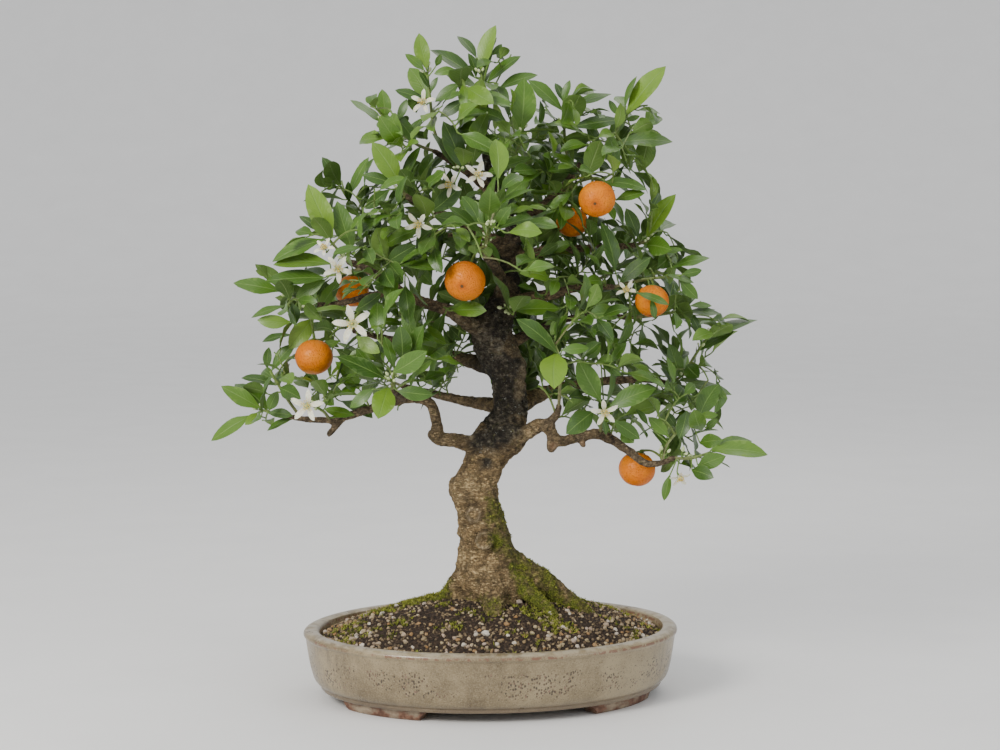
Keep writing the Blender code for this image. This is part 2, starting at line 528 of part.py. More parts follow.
def ear_quality(left, i, normal, used):
    """How good a triangle the corner i of a flat outline would make, or nothing if it can't be cut off."""
    a, b, c = left[i - 1], left[i], left[(i + 1) % len(left)]
    turn = (b.co - a.co).cross(c.co - b.co).dot(normal)
    if turn <= FLAT_AREA:
        return None
    for point in left:
        if point in (a, b, c):
            continue
        if all((end.co - start.co).cross(point.co - start.co).dot(normal) >= -FLAT_AREA
               for start, end in ((a, b), (b, c), (c, a))):
            return None
    size = (b.co - a.co).length_squared + (c.co - b.co).length_squared + (a.co - c.co).length_squared
    return turn / size - (1 if frozenset((a.index, c.index)) in used else 0)


def ear_cut(shape, face, used):
    """The triangles of a flat face. Where every diagonal is one that another face uses, a corner is cut off
    through a new point instead."""
    left = list(face.verts)
    triangles = []
    while len(left) > 3:
        rated = [(ear_quality(left, i, face.normal, used), i) for i in range(len(left))]
        quality, i = max((pair for pair in rated if pair[0] is not None), default=(0, 0))
        a, b, c = left[i - 1], left[i], left[(i + 1) % len(left)]
        if quality < 0:
            inner = shape.verts.new((a.co + b.co + c.co) / 3)
            inner.index = len(shape.verts) - 1
            triangles += [(a.index, b.index, inner.index), (b.index, c.index, inner.index)]
            left[i] = inner
        else:
            triangles.append((a.index, b.index, c.index))
            used.add(frozenset((a.index, c.index)))
            left.pop(i)
    return [*triangles, tuple(v.index for v in left)]


def cleaned(mesh, nearness):
    """The largest body of a mesh, welded and made of triangles, or nothing if it isn't closed."""
    shape = bmesh.new()
    shape.from_mesh(mesh)
    bmesh.ops.remove_doubles(shape, verts=shape.verts, dist=nearness)
    bmesh.ops.dissolve_degenerate(shape, edges=shape.edges, dist=nearness)
    for body in islands(shape)[1:]:
        bmesh.ops.delete(shape, geom=body, context="FACES")
    loose = [v for v in shape.verts if not v.link_faces]
    bmesh.ops.delete(shape, geom=loose, context="VERTS")
    shape.verts.index_update()
    shape.normal_update()
    used = {frozenset((edge.verts[0].index, edge.verts[1].index)) for edge in shape.edges}
    triangles = [triangle for face in list(shape.faces) for triangle in ear_cut(shape, face, used)]
    clean = bpy.data.meshes.new(mesh.name)
    clean.from_pydata([v.co for v in shape.verts], [], triangles)
    shape.clear()
    shape.from_mesh(clean)
    good = is_closed(shape) and len(shape.faces) > 0
    shape.free()
    return clean if good else None


def small_way(number, shift):
    """Which way a piece shifts at a try, and nothing at the first."""
    way = Vector((math.sin(number + 5 * shift), math.cos(2 * number + 3 * shift), math.sin(3 * number + shift)))
    return way * min(shift, 1)


def fuse(base, others, operation="UNION"):
    """Joins the others to the base, or cuts them from it, and removes them. Where edges meet so exactly that the
    result doesn't close, the others are shifted a few hundredths of a millimetre and it is made again."""
    least = volume_of(base.data)
    if operation == "DIFFERENCE":
        least -= sum(volume_of(other.data) for other in others)
    for shift in range(SHIFT_TRIES):
        for number, other in enumerate(others):
            other.data.transform(Matrix.Translation(small_way(number, shift) * SMALL_SHIFT))
        for solver in ("EXACT", "MANIFOLD"):
            mesh = combine(base, others, operation, solver) if others else None
            for nearness in WELD_TRIES:
                clean = cleaned(mesh, nearness) if mesh else None
                if clean and volume_of(clean) > KEPT_VOLUME * least:
                    for other in others:
                        bpy.data.objects.remove(other)
                    base.data = clean
                    return base
    if others:
        raise ValueError(f"{base.name} didn't close")
    return base


def finish(piece, name, finish_material, smooth=35):
    """Names a finished node, gives it its material and moves it to the object's own collection."""
    piece.name = name
    piece.data.name = name
    piece.data.materials.clear()
    piece.data.materials.append(finish_material)
    piece.data.shade_smooth()
    piece.data.set_sharp_from_angle(angle=math.radians(smooth))
    bpy.data.collections["workshop"].objects.unlink(piece)
    bpy.data.collections["citrus bonsai"].objects.link(piece)
    return piece


def tree_of(piece):
    """The faces of a piece, ready for overlap and distance tests."""
    graph = bpy.context.evaluated_depsgraph_get()
    return BVHTree.FromObject(piece, graph)


def oval_ring(inset, height):
    """Points round the pot's oval, so far inside its widest line."""
    half_x = POT_HALF_LENGTH - inset
    half_y = POT_HALF_LENGTH * POT_ROUNDNESS - inset
    ring = []
    for step in range(POT_STEPS):
        angle = 2 * math.pi * step / POT_STEPS
        ring.append(Vector((half_x * math.cos(angle), half_y * math.sin(angle), height)))
    return ring


def pot_foot(middle_degrees):
    """One bracket foot: a short curved block under the wall, with slanted ends."""
    rings = []
    for share in (-1, -0.5, 0, 0.5, 1):
        angle = math.radians(middle_degrees + share * FOOT_SPAN / 2)
        low = math.radians(middle_degrees + share * (FOOT_SPAN / 2 - FOOT_SLANT))
        ring = []
        for inset, height, at in ((FOOT_OUTSIDE, FOOT_HEIGHT + 0.003, angle), (FOOT_OUTSIDE + 0.001, 0, low),
                                  (FOOT_INSIDE, 0, low), (FOOT_INSIDE, FOOT_HEIGHT + 0.003, angle)):
            half_x = POT_HALF_LENGTH - inset
            half_y = POT_HALF_LENGTH * POT_ROUNDNESS - inset
            ring.append(Vector((half_x * math.cos(at), half_y * math.sin(at), height)))
        rings.append(ring)
    return loft("foot", rings)


def pot():
    """The fired bowl: a lofted oval wall with a thick rounded lip, four bracket feet and two drain holes."""
    profile = [*POT_OUTSIDE, *POT_LIP, *POT_INSIDE]
    bowl = loft("bowl", [oval_ring(inset, height) for inset, height in profile])
    fuse(bowl, [pot_foot(degrees) for degrees in FOOT_MIDDLES])
    cuts = [cylinder("drain", (side * DRAIN_REACH, 0, 0), RIM_HEIGHT / 2, DRAIN_RADIUS) for side in (-1, 1)]
    return fuse(bowl, cuts, "DIFFERENCE")


def drain_screen(side):
    """A square of coarse plastic mesh over one drain hole."""
    bottom = FLOOR_TOP + GAP
    half = MESH_SIDE / 2
    low = Vector((side * DRAIN_REACH - half, -half, bottom))
    screen = box("screen", low, low + Vector((MESH_SIDE, MESH_SIDE, MESH_THICKNESS)))
    pitch = MESH_SIDE / MESH_CELLS
    cuts = []
    for column in range(MESH_CELLS):
        for row in range(MESH_CELLS):
            corner = low + Vector((column * pitch + MESH_WIRE / 2, row * pitch + MESH_WIRE / 2, -GAP / 2))
            opening = Vector((pitch - MESH_WIRE, pitch - MESH_WIRE, MESH_THICKNESS + GAP))
            cuts.append(box("cell", corner, corner + opening))
    return fuse(screen, cuts, "DIFFERENCE")


def soil_height(share, angle):
    """Height of the mound, at a share of the way from the middle to the pot's wall."""
    mound = SOIL_EDGE + (SOIL_TOP - SOIL_EDGE) * (1 - share ** 2)
    rough = math.sin(3 * angle + 5 * share) + 0.7 * math.sin(5 * angle - 9 * share)
    return mound + SOIL_ROUGHNESS * rough * share * (1 - share)


def soil(wood_piece):
    """The mound: a domed top, a side that follows the pot's inner wall, and a hole that the roots stand in."""
    rings = []
    for inset, height in reversed(SOIL_SIDE):
        rings.append(oval_ring(inset + SOIL_WALL_GAP, height))
    edge = rings[-1]
    for share in SOIL_RINGS:
        ring = []
        for step, point in enumerate(edge):
            angle = 2 * math.pi * step / POT_STEPS
            ring.append(Vector((point.x * share, point.y * share, soil_height(share, angle))))
        rings.append(ring)
    mound = loft("mound", rings)
    pockets = []
    for side in (-1, 1):
        reach = MESH_SIDE / 2 + GAP
        low = Vector((side * DRAIN_REACH - reach, -reach, FLOOR_TOP - GAP))
        pockets.append(box("pocket", low, low + Vector((2 * reach, 2 * reach, MESH_THICKNESS + 3 * GAP))))
    fuse(mound, pockets, "DIFFERENCE")
    return fuse(mound, [wood(GAP)], "DIFFERENCE")


def trunk_ring(point, ahead, radius, level):
    """A lobed section of the trunk, with deeper lobes near the roots."""
    side = ahead.cross(Vector((0, 1, 0))).normalized()
    other = side.cross(ahead).normalized()
    ring = []
    for step in range(TRUNK_SIDES):
        angle = 2 * math.pi * step / TRUNK_SIDES
        lobes = math.sin(3 * angle + 1.1 + 2.2 * level) + 0.6 * math.sin(5 * angle + 0.4 - 3.1 * level)
        reach = radius * (1 + (LOBE_DEPTH[0] + LOBE_DEPTH[1] * max(0, 1 - level * LOBE_FOOT)) * lobes)
        ring.append(point + side * (reach * math.cos(angle)) + other * (reach * math.sin(angle)))
    return ring


def route(steps):
    """The points and radii, in metres, of a route given in the front view."""
    return [place(px, py, depth) for px, py, depth, _ in steps], [radius * MM for _, _, _, radius in steps]


def wood(grow=0.0):
    """Trunk, roots and branches, grown together. A small growth gives the hole that they stand in."""
    points, radii = route(TRUNK)
    rings = []
    for i, (point, radius) in enumerate(zip(points, radii)):
        ahead = points[min(i + 1, len(points) - 1)] - points[max(i - 1, 0)]
        rings.append(trunk_ring(point, ahead.normalized(), radius + grow, i / len(points)))
    if grow:
        rings[0] = [p - UP * HOLE_ENDS * grow for p in rings[0]]
    trunk = loft("trunk", rings)
    joined = []
    for name, steps in {**ROOTS, **(LIMBS if not grow else {})}.items():
        points, radii = route(steps)
        if grow:
            points[-1] = points[-1] + (points[-1] - points[-2]).normalized() * HOLE_ENDS * grow
        sides = 0 if radii[0] < THICK_LIMB else 1
        joined.append(rod(name, points, [r + HOLE_SIDES * grow for r in radii], sides))
    for name, (px, py, depth, radius) in BURLS.items():
        joined.append(ball(name, place(px, py, depth), radius * MM + grow))
    return fuse(trunk, joined)


def blade_rings(leaf, stations, grow=0.0):
    """Four-point sections of an arched strip with square edges, from its base to the last station."""
    along = leaf.tip - leaf.base
    length = along.length
    along.normalize()
    normal = (leaf.normal - along * leaf.normal.dot(along)).normalized()
    side = along.cross(normal)
    half = LEAF_THICKNESS / 2 + grow
    rings = []
    for share, breadth in (*stations, (1.0, 0.0)):
        middle = leaf.base + along * (length * share) + normal * (leaf.arch * length * 4 * share * (1 - share))
        tilted = (normal - along * (leaf.arch * 4 * (1 - 2 * share))).normalized()
        reach = side * (breadth * leaf.width + grow)
        up = tilted * half
        rings.append([middle - reach + up, middle + reach + up, middle + reach - up, middle - reach - up])
    return rings


def strip(rings):
    """Points and faces of a strip over its sections. The last section is its tip, an upright edge."""
    points = [p for ring in rings[:-1] for p in ring]
    last = len(points) - 4
    points += [(rings[-1][0] + rings[-1][1]) / 2, (rings[-1][2] + rings[-1][3]) / 2]
    top, bottom = last + 4, last + 5
    faces = [(3, 2, 1, 0)]
    for i in range(len(rings) - 2):
        for j in range(4):
            k = (j + 1) % 4
            faces.append((4 * i + j, 4 * i + k, 4 * i + 4 + k, 4 * i + 4 + j))
    faces += [(last, last + 1, top), (last + 1, last + 2, bottom, top), (last + 2, last + 3, bottom),
              (last + 3, last, top, bottom)]
    return points, faces


def petiole_ring(leaf, free=0.0):
    """The section of a leaf's stalk where it is sunk in the twig, or so far out along it."""
    along = leaf.tip - leaf.base
    ahead = (leaf.base + along * LEAF_STATIONS[0][0] - leaf.root).normalized()
    side = along.cross(leaf.normal)
    side = (side - ahead * side.dot(ahead)).normalized()
    up = side.cross(ahead) * PETIOLE_SIZE[1] / 2
    side *= PETIOLE_SIZE[0] / 2
    start = leaf.root + ahead * (free - PETIOLE_SINK)
    return [start - side + up, start + side + up, start + side - up, start - side - up]


def stations_of(leaf):
    return LEAF_STATIONS if (leaf.tip - leaf.base).length > SMALL_LEAF else SMALL_STATIONS


def leaf_piece(leaf):
    points, faces = strip([petiole_ring(leaf), *blade_rings(leaf, stations_of(leaf))])
    return mesh_piece("leaf", points, faces)


def strip_tree(rings):
    """A strip as triangles, for overlap tests."""
    points, faces = strip(rings)
    return BVHTree.FromPolygons(points, faces, all_triangles=False)


def nearest_on(points, target):
    """The share of the way along a route, and the point there, nearest to a target in the front view."""
    best = None
    for i in range(len(points) - 1):
        for step in range(11):
            share = step / 10
            point = points[i].lerp(points[i + 1], share)
            px, py, _ = seen(point)
            miss = math.hypot(px - target[0], py - target[1])
            if best is None or miss < best[0]:
                best = (miss, (i + share) / (len(points) - 1), point)
    return best[1], best[2]


def point_on(points, share):
    """The point at a share of the way along a route, and the way the route heads there."""
    at = min(share, 0.999) * (len(points) - 1)
    i = int(at)
    return points[i].lerp(points[i + 1], at - i), (points[i + 1] - points[i]).normalized()


def free_root(twig, roots, share):
    """The point nearest to a share of the way along a twig where a leaf may root, and the way the twig heads
    there: short of its end, and apart from the roots that are there already."""
    length = sum((b - a).length for a, b in zip(twig, twig[1:]))
    last = 1 - LAST_ROOT / length
    wanted = min(share, last)
    for step in range(ROOT_TRIES):
        way = (step + 1) // 2 * (1 if step % 2 else -1)
        tried = wanted + way * ROOT_SPACING / length / 4
        if not FIRST_ROOT < tried <= last:
            continue
        root, heading = point_on(twig, tried)
        if all((root - other).length >= ROOT_SPACING for other in roots):
            return root, heading
    return point_on(twig, wanted)


def seen_leaf(twig, roots, entry, shift):
    """A leaf given by its base, tip and width in the front view. One that is short for its width leans towards
    the eye, and one that is narrow for its length is seen partly edge-on, with its face turned up."""
    base_x, base_y, tip_x, tip_y, width = entry[:5]
    share, _ = nearest_on(twig, (base_x, base_y))
    root, _ = free_root(twig, roots, share)
    depth = seen(root)[2]
    base_depth, tip_depth = entry[5:] if len(entry) > 5 else (depth - SEEN_LEAD, None)
    pixel = (place(base_x, base_y, base_depth) - place(base_x + 1, base_y, base_depth)).length
    length = math.hypot(tip_x - base_x, tip_y - base_y) * pixel
    true_length = max(length, min(width * pixel / SEEN_WIDEST, SEEN_LONGEST))
    if tip_depth is None:
        tip_depth = base_depth - math.sqrt(true_length ** 2 - length ** 2) / MM
    base = place(base_x, base_y, base_depth + shift * SHIFT_AT_BASE)
    tip = place(tip_x, tip_y, tip_depth + shift)
    along = (tip - base).normalized()
    to_eye = TURN @ EYE - base
    face_on = (to_eye - along * to_eye.dot(along)).normalized()
    lifted = along.cross(face_on)
    lifted = lifted if lifted.z > 0 else -lifted
    breadth = max(width * pixel, SEEN_SLIMMEST * (tip - base).length)
    roll = math.acos(min(1, width * pixel / breadth))
    normal = face_on * math.cos(roll) + lifted * math.sin(roll)
    return Leaf(root, base, tip, normal, breadth, SEEN_ARCH)


def rule_leaf(draw, twig, roots, index, count):
    """A leaf on the spiral round the twig, from the tip down, spreading outwards and rising a little."""
    root, heading = free_root(twig, roots, 1 - RULE_SHARE * index / count)
    turn = index * GOLDEN_TURN + draw.uniform(-RULE_TURN, RULE_TURN)
    spread = draw.uniform(*RULE_SPREAD) * (END_SPREAD if index == 0 else 1)
    length = draw.uniform(*RULE_LENGTH)
    slimness = LEAF_SLIMNESS * draw.uniform(*RULE_SLIMNESS)
    arch = draw.uniform(*RULE_ARCH)
    tilt = Vector((draw.uniform(-RULE_TILT, RULE_TILT), draw.uniform(-RULE_TILT, RULE_TILT), 0))
    side = heading.orthogonal().normalized()
    other = heading.cross(side)
    outwards = side * math.cos(turn) + other * math.sin(turn)
    direction = (heading * math.cos(spread) + outwards * math.sin(spread) + UP * RULE_RISE).normalized()
    base = root + direction * PETIOLE
    tip = base + direction * length
    away = Vector((base.x, base.y, 0)).normalized()
    return Leaf(root, base, tip, UP + away * RULE_OUTWARDS + tilt, slimness * length, arch)


def inside_edge(px, py):
    """Whether a place in the front view lies inside the crown's edge."""
    inside = False
    for (ax, ay), (bx, by) in zip(CROWN_EDGE, CROWN_EDGE[1:] + CROWN_EDGE[:1]):
        if (ay > py) != (by > py) and px < (bx - ax) * (py - ay) / (by - ay) + ax:
            inside = not inside
    return inside


def keeps_places(leaf):
    """Whether a leaf stays inside the crown's edge and out of the places that stay open."""
    for point in (leaf.tip, leaf.base.lerp(leaf.tip, 0.5)):
        px, py, depth = seen(point)
        if not inside_edge(px, py) or abs(point.y) > CROWN_REACH or point.z < LOWEST_LEAF:
            return False
        for x, y, radius, front in OPEN_PLACES:
            if depth < front and math.hypot(px - x, py - y) < radius:
                return False
        for x, y, radius in SHOWN_PLACES:
            if depth < 0 and math.hypot(px - x, py - y) < radius:
                return False
    return True


def is_clear(leaf, spray, taken):
    """Whether a leaf keeps clear of every piece of other nodes. On its own spray the blade keeps clear of every
    piece, and the outer part of its stalk of the other leaves."""
    blade = blade_rings(leaf, stations_of(leaf), CLEARANCE)
    blade_tree = strip_tree(blade)
    outer_tree = strip_tree([petiole_ring(leaf, PETIOLE_FREE), *blade])
    whole_tree = strip_tree([petiole_ring(leaf), *blade])
    low, high = corners([p for ring in blade for p in ring] + [leaf.root])
    for other in taken:
        if any(low[i] > other.high[i] or high[i] < other.low[i] for i in range(3)):
            continue
        own = outer_tree if other.is_leaf else blade_tree
        if (own if other.owner == spray else whole_tree).overlap(other.tree):
            return False
    return True


def corners(points):
    return [min(p[i] for p in points) for i in range(3)], [max(p[i] for p in points) for i in range(3)]


def take(taken, owner, piece, is_leaf=False):
    """Adds a piece to those that later ones keep clear of."""
    points = [piece.matrix_world @ v.co for v in piece.data.vertices]
    taken.append(Taken(owner, is_leaf, tree_of(piece), *corners(points)))


def seated(points, radius, wood_tree):
    """A twig's route whose start has been moved out of the branch, to leave only the gap between them."""
    heading = (points[1] - points[0]).normalized()
    side = heading.orthogonal().normalized() * radius
    other = heading.cross(side)
    for step in range(SEAT_TRIES):
        start = points[0] + heading * (step * SEAT_STEP)
        rim = [start + offset for offset in (side, -side, other, -other, side * 0)]
        if all(is_outside(point, wood_tree) for point in rim):
            return [start, *points[1:]]
    raise ValueError("a twig starts too deep in the wood")


def is_outside(point, tree):
    nearest, normal, _, distance = tree.find_nearest(point)
    return distance > GAP and (point - nearest).dot(normal) > 0


def smooth_route(points, parts=2):
    """A curve through the points, with so many steps between each two."""
    ends = [points[0] * 2 - points[1], *points, points[-1] * 2 - points[-2]]
    route_points = []
    for i in range(1, len(ends) - 2):
        for step in range(parts):
            t = step / parts
            a, b, c, d = ends[i - 1:i + 3]
            route_points.append(0.5 * ((b * 2) + (c - a) * t + (a * 2 - b * 5 + c * 4 - d) * t ** 2
                                       + (b * 3 - a - c * 3 + d) * t ** 3))
    return [*route_points, points[-1]]


def twig_radius(share):
    return TWIG_BASE + (TWIG_TIP - TWIG_BASE) * share


def fruit_piece(name):
    """A slightly flattened round fruit, its stem end turned towards its stalk."""
    _, (px, py, depth), radius, stem, _ = FRUIT[name]
    centre = place(px, py, depth)
    pixel = (place(px + 1, py, depth) - centre).length
    mesh = bpy.data.meshes.new(name)
    shape = bmesh.new()
    turn = (TURN @ Vector(stem)).to_track_quat("Z", "Y").to_matrix().to_4x4()
    size = Matrix.Diagonal((1, 1, FRUIT_FLATNESS, 1))
    bmesh.ops.create_uvsphere(shape, u_segments=FRUIT_STEPS[0], v_segments=FRUIT_STEPS[1],
                              radius=radius * pixel, matrix=Matrix.Translation(centre) @ turn @ size)
    shape.to_mesh(mesh)
    shape.free()
    piece = bpy.data.objects.new(name, mesh)
    bpy.data.collections["workshop"].objects.link(piece)
    return piece, centre, radius * pixel


def calyx_piece(fruit_centre, fruit_radius, stem):
    """The green cap that holds a fruit, just clear of its skin, and the place where its stalk meets it."""
    way = (TURN @ Vector(stem)).normalized()
    start = fruit_centre + way * (fruit_radius * FRUIT_FLATNESS + GAP)
    return rod("calyx", [start, start + way * CALYX_HEIGHT], CALYX_RADII, 1), start


def blossom_piece(name):
    """Five arched petals round a short middle of stamens, fused."""
    _, (px, py, depth), facing, size = BLOSSOM[name]
    centre = place(px, py, depth)
    way = (TURN @ Vector(facing)).normalized()
    side = way.orthogonal().normalized()
    other = way.cross(side)
    middle = rod("middle", [centre - way * FLOWER_FOOT * size, centre + way * STAMEN_HEIGHT * size],
                 [FLOWER_EYE[0] * size, FLOWER_EYE[1] * size], 1)
    petals = []
    for number in range(PETALS):
        angle = 2 * math.pi * (number + 0.35 * math.sin(px)) / PETALS
        out = side * math.cos(angle) + other * math.sin(angle)
        base = centre + out * PETAL_ROOT * size
        tip = centre + (out + way * PETAL_RISE[number % 2]).normalized() * PETAL_LENGTH * size
        petal = Leaf(centre, base, tip, way - out * PETAL_LEAN, PETAL_WIDTH * size, PETAL_ARCH)
        points, faces = strip(blade_rings(petal, PETAL_STATIONS))
        petals.append(mesh_piece("petal", points, faces))
    return fuse(middle, petals), centre, way, size


def stalk(points, radius):
    return rod("stalk", points, [radius] * len(points))


def grow_sprays(wood_piece, taken):
    """Places every twig, stalk and leaf so that none crosses another node, and returns each spray's pieces."""
    wood_tree = tree_of(wood_piece)
    take(taken, "wood", wood_piece)
    sprays = {}
    twigs = {}
    roots = {name: [] for name in SPRAYS}
    for name, (steps, _, _) in SPRAYS.items():
        points = seated([place(*step) for step in steps], TWIG_BASE, wood_tree)
        points = smooth_route(points) if len(points) < 4 else points
        shares = [i / (len(points) - 1) for i in range(len(points))]
        sprays[name] = [rod("twig", points, [twig_radius(share) for share in shares])]
        twigs[name] = points
    for name, (owner, _, _, stem, path) in FRUIT.items():
        piece, centre, radius = fruit_piece(name)
        take(taken, "fruit_" + name, finish(piece, "fruit_" + name, MATERIALS["fruit"]))
        cap, start = calyx_piece(centre, radius, stem)
        line = [place(*step) for step in path]
        _, root = nearest_on(twigs[owner], path[0][:2])
        top = start + (TURN @ Vector(stem)).normalized() * CALYX_HEIGHT * STALK_SUNK
        sprays[owner] += [cap, stalk(smooth_route([root, *line[1:], top]), STALK_RADIUS)]
    for name, (owner, spot, _, _) in BLOSSOM.items():
        piece, centre, way, size = blossom_piece(name)
        take(taken, "blossom_" + name, finish(piece, "blossom_" + name, MATERIALS["petal"]))
        end = centre - way * (FLOWER_FOOT * size + GAP)
        _, root = nearest_on(twigs[owner], spot[:2])
        bend = end - way * FLOWER_NECK
        sprays[owner].append(rod("flower stalk", [root, bend, end], FLOWER_STALK))
    for name, pieces in sprays.items():
        for piece in pieces:
            take(taken, name, piece)
    for name, (_, entries, _) in SPRAYS.items():
        for entry in entries:
            for shift in DEPTH_SHIFTS:
                leaf = seen_leaf(twigs[name], roots[name], entry, shift)
                if is_clear(leaf, name, taken):
                    add_leaf(leaf, name, sprays, roots, taken)
                    break
    for number, (name, (_, _, count)) in enumerate(SPRAYS.items()):
        draw = random.Random(number + 1)
        for index in range(count):
            for _ in range(RULE_TRIES):
                leaf = rule_leaf(draw, twigs[name], roots[name], index, count)
                if keeps_places(leaf) and is_clear(leaf, name, taken):
                    add_leaf(leaf, name, sprays, roots, taken)
                    break
    return sprays


def add_leaf(leaf, name, sprays, roots, taken):
    piece = leaf_piece(leaf)
    sprays[name].append(piece)
    roots[name].append(leaf.root)
    take(taken, name, piece, is_leaf=True)


clear_scene()
collection("citrus bonsai")
collection("workshop")
MATERIALS = {
    "glaze": material("warm grey glaze", (0.46, 0.40, 0.32), 0.35),
    "plastic": material("dark green plastic", (0.03, 0.05, 0.035), 0.6),
    "soil": material("gritty soil", (0.085, 0.06, 0.04), 0.95),
    "bark": material("grey brown bark", (0.25, 0.19, 0.13), 0.9),
    "leaf": material("glossy green leaf", (0.06, 0.16, 0.03), 0.35),
    "petal": material("cream white petal", (0.85, 0.83, 0.72), 0.5),
    "fruit": material("orange peel", (0.80, 0.24, 0.015), 0.4),
}
finish(pot(), "pot", MATERIALS["glaze"])
finish(drain_screen(-1), "drain_screen_left", MATERIALS["plastic"])
finish(drain_screen(1), "drain_screen_right", MATERIALS["plastic"])
tree_wood = finish(wood(), "wood", MATERIALS["bark"], 60)
finish(soil(tree_wood), "soil", MATERIALS["soil"], 60)
claimed = []
for label in ("pot", "soil"):
    take(claimed, label, bpy.data.objects[label])
for label, parts in grow_sprays(tree_wood, claimed).items():
    finish(fuse(parts[0], parts[1:]), "spray_" + label, MATERIALS["leaf"])
bpy.data.collections.remove(bpy.data.collections["workshop"])
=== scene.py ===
import random
from collections import namedtuple
from math import acos, cos, exp, hypot, pi, radians, sin, sqrt

import bmesh
import bpy
import numpy as np
from mathutils import Matrix, Vector, noise
from mathutils.bvhtree import BVHTree
from mathutils.kdtree import KDTree


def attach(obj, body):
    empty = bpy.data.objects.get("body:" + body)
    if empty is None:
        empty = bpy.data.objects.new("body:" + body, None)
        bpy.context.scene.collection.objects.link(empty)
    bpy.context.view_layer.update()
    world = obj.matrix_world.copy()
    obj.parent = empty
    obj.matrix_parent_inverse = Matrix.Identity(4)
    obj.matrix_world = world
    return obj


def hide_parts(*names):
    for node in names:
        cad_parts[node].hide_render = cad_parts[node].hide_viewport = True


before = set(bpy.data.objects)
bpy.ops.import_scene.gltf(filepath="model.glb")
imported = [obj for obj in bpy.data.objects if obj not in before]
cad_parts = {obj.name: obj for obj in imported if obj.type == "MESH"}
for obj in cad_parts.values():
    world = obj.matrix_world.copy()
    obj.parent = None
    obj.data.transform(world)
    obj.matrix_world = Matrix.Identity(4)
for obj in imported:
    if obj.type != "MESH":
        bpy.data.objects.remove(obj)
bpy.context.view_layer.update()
mm = 0.001
upward = Vector((0, 0, 1))

# The front view that places are read in: a frame 1000 wide and 750 high. Depths are in millimetres behind the
# trunk.
frontView = {"centre": (500, 375), "focal": 2150.0, "eye": Vector((0.0065, -1.7, 0.402)),
             "down": radians(4.9), "round": radians(-9.0)}
turn = Matrix.Rotation(frontView["round"], 3, "Z")
eye = turn @ frontView["eye"]

# Trunk and branches: places in the front view with their depth, each with its radius in millimetres.
trunkLine = [
    (491, 628, 0, 31), (491, 605, 0, 29), (491, 590, 0, 27), (490, 575, 0, 25), (489, 560, 0, 23.5),
    (488, 548, 0, 22), (486, 536, -1, 20.5), (483, 524, -2, 18.5), (480, 512, -3, 17.5),
    (477, 500, -3, 17.5), (477, 488, -3, 17.5), (479, 477, -2, 16.5), (484, 466, 0, 16), (488, 455, 2, 17),
    (493, 445, 3, 18.5), (501, 434, 4, 17.5), (507, 422, 5, 15.5), (510, 408, 6, 14), (510, 392, 6, 13.5),
    (508, 376, 6, 14), (503, 362, 5, 15.5), (496, 348, 3, 16.5), (492, 336, 2, 16.5), (494, 322, 2, 15),
    (501, 308, 4, 12.5), (507, 294, 6, 10.5), (509, 278, 7, 8.7), (508, 262, 7, 8), (511, 246, 6, 8),
    (514, 232, 4, 7), (507, 215, 3, 5.4), (499, 198, 2, 4.6), (491, 178, 0, 4), (486, 155, 0, 3.4),
    (484, 132, -1, 2.8), (484, 118, -1, 2.3),
]
rootLines = {
    "right": [(498, 556, 0, 13), (528, 574, -2, 11), (551, 587, -6, 9.5), (570, 601, -10, 7.5),
      (590, 616, -16, 5), (608, 632, -20, 3)],
    "left": [(480, 562, 0, 13), (463, 580, -2, 10), (450, 596, -4, 7), (432, 608, -6, 4.5),
      (412, 622, -8, 3)],
    "front": [(489, 565, -6, 13), (492, 585, -24, 11), (494, 604, -38, 9), (492, 628, -52, 5)],
    "front_right": [(505, 575, -4, 11), (530, 594, -22, 7), (556, 616, -38, 3.5)],
    "back_left": [(485, 570, 6, 13), (462, 582, 30, 8), (438, 600, 50, 4)],
    "back_right": [(500, 570, 6, 13), (520, 578, 34, 8), (538, 594, 58, 4)],
}
burls = {
    "swelling": (464, 489, -3, 13.5),
    "old_cut": (486, 541, -17, 6.5),
    "lower_lump": (470, 515, -9, 11),
    "branch_collar": (505, 440, -8, 15),
    "upper_lump": (516, 366, 4, 9),
}
